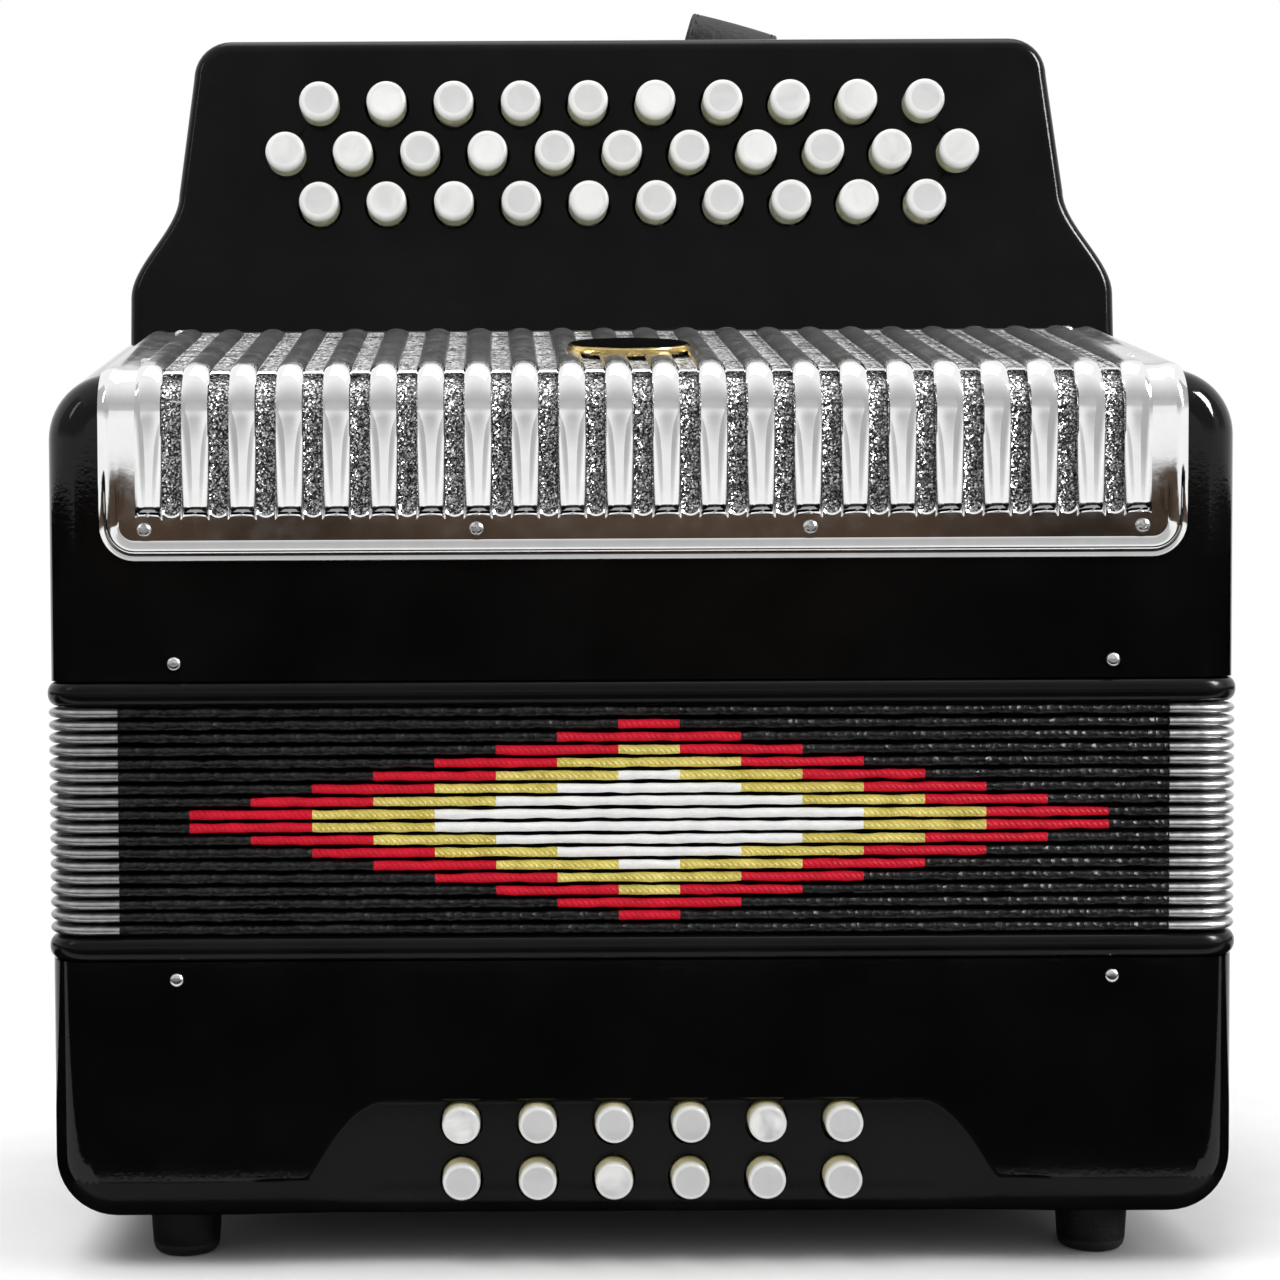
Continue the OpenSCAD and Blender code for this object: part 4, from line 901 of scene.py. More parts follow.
def thick_sheet(points, faces):
    """Joins points in the same place and closes the surface into a sheet with an inner side."""
    merged, order, remap = {}, [], []
    for x, s, h in points:
        key = (round(x, 3), round(s, 3))
        if key not in merged:
            merged[key] = len(order)
            order.append((x, s, h))
        remap.append(merged[key])
    outer = []
    for face in faces:
        f = [remap[i] for i in face]
        f = [v for k, v in enumerate(f) if v != f[k - 1]]
        if len(set(f)) == len(f) and len(f) > 2:
            outer.append(tuple(f))
    edges = dict.fromkeys(edge for f in outer for edge in zip(f, f[1:] + f[:1]))
    n = len(order)
    verts = [(x, *on_path(s, h)) for x, s, h in order] + [(x, *on_path(s, SHEET_IN)) for x, s, h in order]
    inner = [tuple(n + i for i in reversed(f)) for f in outer]
    rim = [(a, b, n + b, n + a) for a, b in edges if (b, a) not in edges]
    # Faces past the bend take the darker chrome, painted shade on the slope
    tones = [int(min(order[i][1] for i in f) > PAINTED_SLOPE_FROM) for f in outer]
    return Shape().add(verts, outer + inner + rim, tones + [0] * (len(inner) + len(rim)))


field_points, field_faces = grille_field()
rim_points, rim_faces = grille_rim()
rim_faces = [tuple(len(field_points) + i for i in f) for f in rim_faces]
grille = thick_sheet(field_points + rim_points, field_faces + rim_faces)
grille = grille.build("grille_sheet", [CHROME, CHROME_SLOPE_SHADED], 30)
piece(grille, "treble_end", "chrome_grille", "treble_grille")


# Cloth behind the grille

CLOTH_HALF, CLOTH_OUT = WINDOW_HALF + 2, 0.3
CLOTH_LOW, CLOTH_HIGH = 10.2, slope_s(BOARD_Y - 1.3)


def cloth_sheet():
    across = steps(-CLOTH_HALF, CLOTH_HALF, 50)
    along = steps(CLOTH_LOW, LEN_FRONT, 6) + steps(LEN_FRONT, BEND_END, 8)[1:]
    along += steps(BEND_END, CLOTH_HIGH, 16)[1:]
    verts = [(x, *on_path(s, CLOTH_OUT)) for s in along for x in across]
    faces = grid_faces(len(across), len(along))
    # Rows from the bend on take the lighter cloth, painted light on the slope
    tones = [int(along[f[0] // len(across)] >= PAINTED_SLOPE_FROM) for f in faces]
    return Shape().add(verts, faces, tones).build("glitter_cloth_sheet", [CLOTH, CLOTH_SLOPE_LIT])


cloth = cloth_sheet()
piece(cloth, "treble_end", "grille_cloth", "grille_cloth")


# Oval badge on the slope, plain, with a gilt rim

BADGE_SIDES, BADGE_SINK = 72, 0.6
BADGE_RINGS = ((0.93, -0.6, 0), (0.97, 0.2, 0), (0.99, 0.4, 1), (1.0, 0.7, 1), (1.0, 2.0, 1),
               (0.985, 2.3, 1), (0.95, 2.45, 0), (0.9, 2.5, 0), (0.6, 2.9, 0), (0.3, 3.1, 0))


def oval_badge():
    """Ovals of a share of the badge's length, each with its height and the material above it."""
    at = seat((BADGE_X, *on_path(slope_s(BADGE_Y), SHEET_OUT - BADGE_SINK)), degrees(SLOPE))
    rings = []
    for share, h, mat in BADGE_RINGS:
        half_w, half_l = BADGE_W - (1 - share) * BADGE_L, BADGE_L * share
        turns = [2 * pi * i / BADGE_SIDES for i in range(BADGE_SIDES)]
        rings.append([at @ Vector((half_w * cos(a), half_l * sin(a), h)) for a in turns])
    verts, faces = loft(rings)
    tones = [mat for share, h, mat in BADGE_RINGS[:-1] for i in range(BADGE_SIDES)] + [0, 0]
    return Shape().add(verts, faces, tones).build("oval_badge", [CASE, GOLD], 25)


badge = oval_badge()
piece(badge, "treble_end", "black_case")


# Bass casing

BASS_SHIFT, BASS_PER_ROW, BASS_BUTTON_R = 2.0, 6, 4.9
BASS_ROWS = (BASS_Z0 + 11, BASS_Z0 + 26)
BASS_DEPTHS = (-66, -50, -25, 0, 25, 50, 66)
RECESS_LOW, RECESS_TOP, RECESS_Z, FLARE_Z = 88.5, 69.5, BASS_Z0 + 32, BASS_Z0 + 11.7
RECESS_STEP, RECESS_SLOPE, RECESS_DEPTH, STEP_RISE, ARCH_POWER, ARCH_BLEND = 2.0, 0.11, 4.5, 1.4, 1.75, 1.5
RECESS_END, RECESS_FADE, FADE_Y, FADE_DEPTH, FADE_LOW = 110, 20, FRONT_Y + EDGE_R, 14, 0.4
BORE_R, BORE_STRETCH, BORE_DROP = 5.6, 1.12, 0.6
AIR_X, AIR_Z, AIR_R, AIR_BORE_R, AIR_MOUTH_R = HALF_W - 47.5, BASS_Z0 + 28, 6.0, 6.4, 7.2
UPPER_HALF, UPPER_FLOOR = HALF_W - WALL, BASS_Z0 + 37.5
LOWER_HALF, LOWER_FRONT, LOWER_TOP = UPPER_HALF - 6, -76.4, BASS_Z0 + 47
CAVITY_R = 5
FACE_HALF, FACE_LOW = HALF_W - EDGE_R, BASS_Z0 + EDGE_R
ARCH_OFFSETS = (-12, -9, -6, -4, -2.8, -2.0, -1.5, -1.2, -0.9, -0.6, -0.3, 0, 0.8, 3)


def recess_edge(x):
    """Height of the recess's arched edge over a place along the front."""
    part = max((abs(x - BASS_SHIFT) - RECESS_TOP) / (RECESS_LOW - RECESS_TOP), 0)
    arch = RECESS_Z - (RECESS_Z - FLARE_Z) * part ** ARCH_POWER
    return (arch + FLARE_Z + sqrt((arch - FLARE_Z) ** 2 + ARCH_BLEND)) / 2


def recess_depth(x, z):
    """How far the front is set back: a step under the arched edge, then a slope, fading out at both ends."""
    t = max(recess_edge(x) - z, 0)
    depth = RECESS_STEP * smooth(t / STEP_RISE) + RECESS_SLOPE * t
    return min(depth, RECESS_DEPTH) * smooth((RECESS_END - abs(x - BASS_SHIFT)) / RECESS_FADE)


def recessed(x, y, z):
    """The recess sets the front and its rounded lower edge back, and fades out below."""
    fade = (1 - smooth((y - FADE_Y) / FADE_DEPTH)) * lerp(FADE_LOW, 1, smooth((z - BASS_Z0) / EDGE_R))
    return (x, y + recess_depth(x, z) * fade, z)


def bass_ring(y, d):
    """Left side down, along the bottom and up the right side, with the sides set in by d."""
    w, low, r = HALF_W - d, BASS_Z0 + d, max(BASS_CORNER_R - d, LEAST_R)
    left = [(-w, z) for z in steps(BASS_Z1, low + r, 24)]
    left += arc(-w + r, low + r, r, steps(180, 270, 10)[1:-1])
    bottom = [(x, low) for x in steps(-w + r, w - r, 200)]
    return [(x, y, z) for x, z in left + bottom + [(-x, z) for x, z in reversed(left)]]


def inside_front(x, z):
    r = BASS_CORNER_R - EDGE_R
    dx, dz = abs(x) - (FACE_HALF - r), FACE_LOW + r - z
    return abs(x) < FACE_HALF and z > FACE_LOW and (dx < 0 or dz < 0 or hypot(dx, dz) < r + 0.01)


def bass_front(outline):
    """Points and faces of the flat front inside its outline, with close lines along the recess's edge."""
    points = [Vector(p) for p in outline]
    lines = [(i, (i + 1) % len(outline)) for i in range(len(outline))]
    before = {}
    for x in steps(-FACE_HALF + 1.5, FACE_HALF - 1.5, 230):
        here = {}
        for offset in ARCH_OFFSETS:
            z = recess_edge(x) + offset
            if FACE_LOW + 0.6 < z < BASS_Z1 - 1:
                here[offset] = len(points)
                points.append(Vector((x, z)))
                if offset in before:
                    lines.append((before[offset], here[offset]))
        before = here
    for x in steps(-FACE_HALF + 3, FACE_HALF - 3, 60):
        for z in steps(FACE_LOW + 3, BASS_Z1 - 3, 14):
            if not -14 < z - recess_edge(x) < 13:
                points.append(Vector((x, z)))
    verts, _, faces, _, _, _ = delaunay_2d_cdt(points, lines, [], 0, 1e-5)
    middles = [(sum(verts[i].x for i in f) / 3, sum(verts[i].y for i in f) / 3) for f in faces]
    kept = [tuple(f) for f, middle in zip(faces, middles) if inside_front(*middle)]
    return [recessed(p.x, FRONT_Y, p.y) for p in verts], kept


def bass_shell():
    rings = [bass_ring(y, d) for y, d in depth_stations(0, BASS_DEPTHS)]
    verts, faces = loft(rings, caps=False)
    n = len(rings[0])
    faces.append(tuple(range(len(verts) - n, len(verts))))
    shape = Shape().add([recessed(*v) for v in verts], faces)
    shape.add(*bass_front([(x, z) for x, y, z in rings[0]]))
    return shape.build("bass_shell", [CASE, PANEL], 28, weld=0.002)


def cavity(low, high):
    """A cutting block with rounded edges."""
    obj = cutter(CASE, *box_solid(low, high))
    mod = obj.modifiers.new("soft_edges", "BEVEL")
    mod.width, mod.segments, mod.limit_method = CAVITY_R * MM, 4, "ANGLE"
    mod.angle_limit = radians(40)
    apply_modifiers(obj)
    return obj


def bass_place(k):
    """Row of a bass key and its place along the row."""
    return k // BASS_PER_ROW, BASS_SHIFT + (k % BASS_PER_ROW - (BASS_PER_ROW - 1) / 2) * BUTTON_PITCH


def bass_bores():
    """Slightly oval bores for the tilted buttons, and the air button's bore in the back."""
    bores = Shape()
    for k in range(BASS_KEYS):
        row, x = bass_place(k)
        at = seat((x, FRONT_Y, BASS_ROWS[row] - BORE_DROP), -90)
        bores.add(*revolve([(BORE_R, -3), (BORE_R, 20)], at @ Matrix.Diagonal((1, BORE_STRETCH, 1, 1)), 40))
    air = [(AIR_BORE_R, -12), (AIR_BORE_R, -0.8), (AIR_MOUTH_R, 0.0), (AIR_MOUTH_R, 3)]
    bores.add(*revolve(air, seat((AIR_X, BACK_Y, AIR_Z), -90), 40))
    return bores.build("cutter", [CASE])


bass = bass_shell()
upper_cavity = cavity((-UPPER_HALF, FRONT_Y + WALL, UPPER_FLOOR), (UPPER_HALF, BACK_Y - WALL, BASS_Z1 + 10))
lower_cavity = cavity((-LOWER_HALF, LOWER_FRONT, BASS_Z0 + WALL), (LOWER_HALF, BACK_Y - WALL, LOWER_TOP))
cut(bass, upper_cavity, lower_cavity, bass_bores())
for face in bass.data.polygons:
    c = face.center / MM
    if c.z < recess_edge(c.x) - 0.7 and c.y < FRONT_Y + EDGE_R and face.normal.y < -0.3:
        face.material_index = 1
shade(bass, 28)
flatten(bass, Vector((0, -1, 0)))
piece(bass, "bass_end", "black_case", "bass_casing")


# Bellows frames

BEAD_OUT, BEAD_R, BEAD_SHAPE = 1, 3.2, 0.75
FRAME_IN, FRAME_STEP, FRAME_GAP = 26, 3, 0.02
LIP_H, LIP_T = 7.5, 6


def bead_profile(z0, z1):
    """A rounded bead outside and the flat frame inside."""
    z0, z1 = z0 + FRAME_GAP, z1 - FRAME_GAP
    profile = [(-FRAME_IN, z0), (-FRAME_STEP, z0)]
    for c, s in arc(0, 0, 1, steps(-90, 90, 14)):
        profile.append((BEAD_OUT - BEAD_R + BEAD_R * c ** BEAD_SHAPE, (z0 + z1) / 2 + (z1 - z0) / 2 * s))
    return profile + [(-FRAME_STEP, z1), (-FRAME_IN, z1)]


def bellows_frame(name, z0, z1, root, tip):
    """A frame between two heights, with a lip from root to tip inside the casing."""
    profile = bead_profile(z0, z1)
    lip = [(0, root), (0, tip), (-LIP_T, tip), (-LIP_T, root)]
    inset = WALL + FIT
    lip_path = rounded_path(HALF_W - inset, HALF_D - inset, EDGE_R - WALL, 8, 40)
    shape = Shape().add(*sweep_profile(rounded_path(HALF_W, HALF_D, EDGE_R, 12, 40), lambda i: profile))
    shape.add(*sweep_profile(lip_path, lambda i: lip))
    return shape.build(name, [FRAME], 35)


bead = bellows_frame("treble_bead", BELLOWS_Z1, TREBLE_Z0, TREBLE_Z0 - 1, TREBLE_Z0 + LIP_H)
piece(bead, "treble_end", "black_frame", "treble_frame")
bead = bellows_frame("bass_bead", BASS_Z1, BELLOWS_Z0, BASS_Z1 + 1, BASS_Z1 - LIP_H)
piece(bead, "bass_end", "black_frame", "bass_frame")


# Bellows: cords over the folds, metal caps on their corners and pleats between them

COLUMN, PATTERN_X, MARKS = 15.64, 1.4, 12
RED_WIDTH, GOLD_WIDTH, WHITE_WIDTH = 15, 11, 7
TAPES = ((WHITE_WIDTH, 3), (GOLD_WIDTH, 2), (RED_WIDTH, 1))
CORD_R, CORD_IN, CORD_ROOT, CORD_LUMP = 1.2, 4.5, 0.35, 0.08
CAP_REACH, CAP_BEND, CAP_FLARE = 18.5, 14, 0.12
CAP_OUTER, CAP_INNER = (1.95, 1.3), (1.3, 1.22)
PLEAT_OUT, PLEAT_FOLD, PLEAT_DEEP, PLEAT_INNER, PLEAT_T, PLEAT_GAP = -3.2, -19.0, -20.2, -17.6, 0.25, 0.05


def stretch(obj, z_a, w_a, z_b=None, w_b=None):
    """Bakes a piece of the bellows into its place. The heights and shares that it is given are not used."""
    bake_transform(obj)


def fold_z(level):
    return BELLOWS_Z0 + (level + 0.5) * FOLD_PITCH


def fold_weight(level):
    """A fold's share of the bellows' height, counted from the bass end."""
    return (level + 0.5) / FOLDS


def tape(row, x):
    """Material of the tape at a place along a fold: 0 black, 1 red, 2 gold, 3 white. The diamond's bands
    are widest at the middle rows and lose a column at each end with every row away from there."""
    column, away = abs(round((x - PATTERN_X) / COLUMN)), min(row, FOLDS - 1 - row)
    for width, mat in TAPES:
        if column <= (width - 1) // 2 - (FOLDS // 2 - 1 - away):
            return mat
    return 0


def fold_path():
    """Path round a fold, with points along the front at the pattern's columns."""
    edges = [PATTERN_X + (k - 0.5) * COLUMN for k in range(-8, 9)]
    marks = {edge + COLUMN * q / MARKS for edge in edges for q in range(MARKS)}
    return rounded_path(HALF_W, HALF_D, EDGE_R, 10, 4, [m for m in marks if abs(m) < HALF_W - EDGE_R - 1])


def lumps(seed, count):
    """Smoothed seeded noise round a fold, for the uneven cord under its cloth."""
    draw = random.Random(seed)
    raw = [draw.uniform(-1, 1) for _ in range(count)]
    near = ((-2, 1), (-1, 2), (0, 3), (1, 2), (2, 1))
    return [sum(share * raw[(i + step) % count] for step, share in near) / 4 for i in range(count)]


def fold_cords(row, z, path):
    swell, sway = lumps(2 * row, len(path)), lumps(2 * row + 1, len(path))

    def cord(i):
        r = CORD_R * (1 + CORD_LUMP * swell[i])
        points = arc(-CORD_R, z + CORD_LUMP * sway[i], r, steps(-115, 115, 14))
        return points + [(-CORD_IN, z + CORD_ROOT), (-CORD_IN, z - CORD_ROOT)]

    verts, faces = sweep_profile(path, cord)
    count, tones = len(cord(0)), []
    for f in faces:
        ((xa, _), (_, na)), ((xb, _), (_, nb)) = path[f[0] // count], path[f[2] // count]
        tones.append(tape(row, (xa + xb) / 2) if max(na, nb) < -0.99 else 0)
    materials = [FOLD_BLACK, FOLD_RED, FOLD_GOLD, FOLD_WHITE]
    return Shape().add(verts, faces, tones).build(f"bellows_fold_{row + 1:02d}", materials, 40)


def cap_path():
    """Path round the right front corner."""
    path = [((HALF_W - CAP_REACH, FRONT_Y), (0, -1)), ((HALF_W - CAP_BEND, FRONT_Y), (0, -1))]
    for nx, ny in arc(0, 0, 1, steps(-90, 0, 10)):
        path.append(((HALF_W - EDGE_R + EDGE_R * nx, FRONT_Y + EDGE_R + EDGE_R * ny), (nx, ny)))
    return path + [((HALF_W, FRONT_Y + CAP_BEND), (1, 0)), ((HALF_W, FRONT_Y + CAP_REACH), (1, 0))]


def fold_caps(row, z):
    path = cap_path()

    def sleeve(i):
        flare = 0.0 if 0 < i < len(path) - 1 else CAP_FLARE
        outer, inner = [], []
        for c, s in arc(0, 0, 1, steps(-88, 88, 14)):
            outer.append((-CORD_R + (CAP_OUTER[0] - flare) * c, z + (CAP_OUTER[1] - flare) * s))
            inner.append((-CORD_R + CAP_INNER[0] * c, z + CAP_INNER[1] * s))
        return outer + inner[::-1]

    caps = Shape()
    for sx, sy in ((1, 1), (1, -1), (-1, -1), (-1, 1)):
        line = [((x * sx, y * sy), (nx * sx, ny * sy)) for (x, y), (nx, ny) in path]
        caps.add(*sweep_profile(line, sleeve, False))
    return caps.build(f"bellows_caps_{row + 1:02d}", [CAP_METAL], 35)


def ring_at(outset, z):
    r = max(EDGE_R + outset, LEAST_R)
    return [(x, y, z) for (x, y), _ in rounded_path(HALF_W + outset, HALF_D + outset, r, 6, 400)]


def pleat_sheet(level, z_a, z_b):
    """A thin sheet folded inwards between two folds."""
    middle, low, high = (z_a + z_b) / 2, z_a + PLEAT_GAP, z_b - PLEAT_GAP
    stations = ((PLEAT_OUT, low), (PLEAT_FOLD, middle - PLEAT_T / 2), (PLEAT_DEEP, middle),
                (PLEAT_FOLD, middle + PLEAT_T / 2), (PLEAT_OUT, high), (PLEAT_OUT, high - PLEAT_T),
                (PLEAT_INNER, middle), (PLEAT_OUT, low + PLEAT_T))
    rings = [ring_at(outset, z) for outset, z in stations]
    return Shape().add(*loft(rings, True)).build(f"bellows_pleat_{level + 1:02d}", [PLEAT], 30)


FOLD_PATH = fold_path()
for row in range(FOLDS):
    level = FOLDS - 1 - row
    fold = fold_cords(row, fold_z(level), FOLD_PATH)
    stretch(fold, fold_z(level), fold_weight(level))
    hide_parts("bellows")
    caps = fold_caps(row, fold_z(level))
    stretch(caps, fold_z(level), fold_weight(level))
    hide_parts("bellows_corners")

for level in range(FOLDS + 1):
    z_a, w_a = (fold_z(level - 1), fold_weight(level - 1)) if level else (BELLOWS_Z0, 0.0)
    z_b, w_b = (fold_z(level), fold_weight(level)) if level < FOLDS else (BELLOWS_Z1, 1.0)
    pleat = pleat_sheet(level, z_a, z_b)
    stretch(pleat, z_a, w_a, z_b, w_b)
    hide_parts("bellows")


# Keys: button, lever and pallet in one piece. Material numbers: 0 dish, 1 rim, 2 side, then these three.

KEY_LEVER, KEY_PALLET, KEY_FELT = 3, 4, 5
TREBLE_DISHES = (PEARL_GREY, PEARL_WHITE, PEARL_MID)
# Greyer bass dishes, painted shade
BASS_SHADED_DISHES = (BASS_DISH_SHADED, BASS_DISH_SHADED, BASS_DISH_SHADED, BASS_MID_SHADED)
DISH_CURVE = ((0.45, 0.2), (0.74, 0.13), (0.9, 0.05), (1, 0.0))
RIM_CURVE = ((0.36, 0.08), (0.68, 0.3), (0.9, 0.75), (1, 1.4))
TREBLE_DISH, BASS_DISH_SHARE, WALL_TAPER, STEM_SHARE = 0.78, 0.9, 0.995, 0.8
BUTTON_SIDES, STEM_SINK = 36, 0.4
AXLE_R, HUB_HALF, HUB_EDGE = 1.5, 1.5, 0.3
LEVER_T, LEVER_W, LEVER_STEP, LEVER_EDGE = 2.0, 5.0, 1.8, 0.35
ROW_STEPS, ROW_REACH, ROW_ARMS = (1, 0, -1), (28, 45, 62), (8.5, 8.5, 14.0)
PALLET_T, PALLET_R, FELT_T, FELT_GAP, FELT_INSET = 4.0, 1.2, 1.3, 0.1, 0.1
TREBLE_PALLET, BASS_PALLET = (4.5, 6.5), (4.2, 5)
TREBLE_HUB_R, BASS_HUB_R = 4.1, 3.5
ARM_PAST, ARM_BEND, ARM_ROOT, ARM_W = 2.2, 3.5, 3.9, LEVER_W - 0.6
SHIN_ROOT, SHIN_KNEE, SHIN_FOOT, SHIN_W = (3.7, 1.2), (3, 11.5), 7.5, LEVER_W - 1.0
BASS_AXLE = (-76.0, BASS_Z0 + 48)
BASS_DECK_Y, BASS_PALLET_Z = BASS_AXLE[0] + 22, BASS_AXLE[1] + 11
BASS_ARMS, BASS_STEPS = (10.1, 5.5), (1, -1)
BASS_ARM_PAST, BASS_ARM_BEND, BASS_ARM_W, BASS_ROOT = 1.8, 4.5, 3.4, 2.2
BASS_SHIN_ROOT, BASS_SHIN_FOOT, BASS_SHIN_W, BASS_STEM_GAP = 2.0, 5, 3.2, 2.1
BASS_OUT, BASS_TILT = 5.0, degrees(atan(RECESS_SLOPE))


def treble_mats(k):
    return [TREBLE_DISHES[(k * 5 + k * k // 3) % 3], PEARL, PEARL_SIDE_SHADED, LEVER, PALLET, PLEAT]


def bass_mats(k):
    return [BASS_SHADED_DISHES[(k * 7 + 5) % 4], BASS_RIM_SHADED, BASS_SIDE_SHADED, LEVER, PALLET, PLEAT]


def button(shape, at, r, length, out, dish):
    """A dished button along local Z, from its cap over its wall to its stem. The dish is a share of r."""
    cap = [(0.05, 0.22)] + [(r * dish * k, h) for k, h in DISH_CURVE]
    cap += [(r * lerp(dish, 1, k), h) for k, h in RIM_CURVE]
    foot_r, stem_r = r * WALL_TAPER, r * STEM_SHARE
    # The side tone, painted shade, starts a third of the way down the wall
    wall = [(r, out * 0.35), (foot_r, out), (foot_r, out + 1.2), (stem_r, out + 1.6), (stem_r, length)]
    verts, faces = revolve(cap + wall, at, BUTTON_SIDES)
    bands = [0] * 3 + [1] * (len(cap) - 3) + [2] * (len(wall) - 1)
    tones = [band for band in bands for i in range(BUTTON_SIDES)] + [0, 2]
    shape.add(verts, faces, tones)


def bar_outline(points, width):
    """Outline of a bent flat bar along a polyline."""
    line = [Vector(p) for p in points]
    left, right = [], []
    for i, p in enumerate(line):
        before = (p - line[i - 1]).normalized() if i else (line[1] - p).normalized()
        after = (line[i + 1] - p).normalized() if i < len(line) - 1 else before
        n = Vector((-before.y - after.y, before.x + after.x)).normalized()
        k = width / 2 / max(n.dot(Vector((-before.y, before.x))), 0.5)
        left.append(p + n * k)
        right.append(p - n * k)
    return left + right[::-1]


def lever(shape, x, points, width):
    """A flat bar in the YZ plane with broken edges, in the middle of a place along X."""
    outline = bar_outline(points, width)
    half, flat = LEVER_T / 2, LEVER_T / 2 - LEVER_EDGE
    rings = []
    for dx, d in ((-half, LEVER_EDGE), (-flat, 0), (flat, 0), (half, LEVER_EDGE)):
        ring = []
        for i, p in enumerate(outline):
            along = (outline[(i + 1) % len(outline)] - outline[i - 1]).normalized()
            ring.append((x + dx, p.x + along.y * d, p.y - along.x * d))
        rings.append(ring)
    shape.add(*loft(rings), KEY_LEVER)


def key_hub(shape, x, axle, r):
    bore, edge = AXLE_R + 0.08, HUB_HALF - HUB_EDGE
    profile = [(bore, -HUB_HALF), (r - HUB_EDGE, -HUB_HALF), (r, -edge), (r, edge), (r - HUB_EDGE, HUB_HALF),
               (bore, HUB_HALF)]
    shape.add(*revolve(profile, seat((x, *axle), 90, "Y"), 24, True), KEY_LEVER)


def pallet(shape, at, half, wood, felt):
    """A wooden pallet and its felt, each between two heights of a local frame."""
    for (z0, z1), inset, mat in ((wood, 0, KEY_PALLET), (felt, FELT_INSET, KEY_FELT)):
        w, d = half[0] - inset, half[1] - inset
        shape.add(*rounded_block((-w, -d, z0), (w, d, z1), PALLET_R, at), mat)


def leaned(y, z):
    """A place behind and above the treble axle, leaning with the fingerboard."""
    return AXLE[0] + y * cos(LEAN) + z * sin(LEAN), AXLE[1] - y * sin(LEAN) + z * cos(LEAN)


def treble_key(k):
    row, x = treble_place(k)
    arm_y, foot_y, foot_z = ROW_ARMS[row], AXLE[0] - ROW_REACH[row], DECK_Z + PALLET_T + FIT
    shape = Shape()
    stem = BUTTON_OUT + PLATE_T / 2 + arm_y - LEVER_W / 2 + STEM_SINK
    button(shape, button_seat(k, -BUTTON_OUT), BUTTON_R, stem, BUTTON_OUT, TREBLE_DISH)
    lever_x, button_z = x + ROW_STEPS[row] * LEVER_STEP, AXLE_DROP + FIRST_ROW + row * ROW_PITCH
    arm = ((arm_y, button_z + ARM_PAST), (arm_y, ARM_BEND), (arm_y - ARM_BEND, 0.0), (ARM_ROOT, 0.0))
    lever(shape, lever_x, [leaned(y, z) for y, z in arm], ARM_W)
    shin = [(AXLE[0] - SHIN_ROOT[0], AXLE[1] - SHIN_ROOT[1]), (foot_y + SHIN_KNEE[0], foot_z + SHIN_KNEE[1]),
            (foot_y, foot_z + SHIN_FOOT), (foot_y, foot_z)]
    lever(shape, lever_x, shin, SHIN_W)
    key_hub(shape, lever_x, AXLE, TREBLE_HUB_R)
    pallet(shape, seat((x, foot_y, DECK_Z)), TREBLE_PALLET, (FELT_T, PALLET_T), (FELT_GAP, FELT_T))
    return shape


def bass_key(k):
    row, x = bass_place(k)
    (axle_y, axle_z), row_z, arm_y = BASS_AXLE, BASS_ROWS[row], BASS_AXLE[0] + BASS_ARMS[row]
    face_y, foot_y = FRONT_Y + recess_depth(x, row_z), BASS_DECK_Y - PALLET_T
    shape = Shape()
    at = seat((x, face_y, row_z), BASS_TILT - 90) @ seat((0, 0, -BASS_OUT))
    stem = arm_y - BASS_STEM_GAP - face_y + BASS_OUT + STEM_SINK
    button(shape, at, BASS_BUTTON_R, stem, BASS_OUT, BASS_DISH_SHARE)
    lever_x, foot, root_y = x + BASS_STEPS[row] * LEVER_STEP, foot_y - FIT, axle_y + BASS_ROOT
    arm = [(arm_y, row_z - BASS_ARM_PAST), (arm_y, axle_z - BASS_ARM_BEND), (root_y, axle_z - BASS_ROOT)]
    lever(shape, lever_x, arm, BASS_ARM_W)
    shin = [(root_y, axle_z + BASS_SHIN_ROOT), (foot - BASS_SHIN_FOOT, BASS_PALLET_Z), (foot, BASS_PALLET_Z)]
    lever(shape, lever_x, shin, BASS_SHIN_W)
    key_hub(shape, lever_x, BASS_AXLE, BASS_HUB_R)
    at = seat((x + BASS_STEPS[row] * BUTTON_PITCH / 4, foot_y, BASS_PALLET_Z), -90)
    pallet(shape, at, BASS_PALLET, (0.0, PALLET_T - FELT_T), (PALLET_T - FELT_T, PALLET_T - FELT_GAP))
    return shape


for k in range(TREBLE_KEYS):
    name = f"treble_key_{k + 1:02d}"
    key = treble_key(k).build(f"key_{name}", treble_mats(k), 35)
    piece(key, name, "pearl_button", name)
for k in range(BASS_KEYS):
    name = f"bass_key_{k + 1:02d}"
    key = bass_key(k).build(f"key_{name}", bass_mats(k), 35)
    piece(key, name, "pearl_button", name)


# Air button: a pearl knob with its sealing disc inside

AIR_OUT, AIR_LENGTH, AIR_WALL = 3.8, 10, 4.6
AIR_DISC = ((3.0, 9.5), (11.0, 9.6), (11.4, 10.0), (11.4, 11.4), (10.9, 11.9), (3.0, 12.0))

air_seat = seat((AIR_X, BACK_Y + AIR_OUT, AIR_Z), 90)
air_shape = Shape()
button(air_shape, air_seat, AIR_R, AIR_LENGTH, AIR_WALL, TREBLE_DISH)
air_shape.add(*revolve(AIR_DISC, air_seat, 40), KEY_FELT)
air = air_shape.build("air_knob", treble_mats(1), 35)
piece(air, "air_valve", "pearl_button", "air_button")


# Fittings

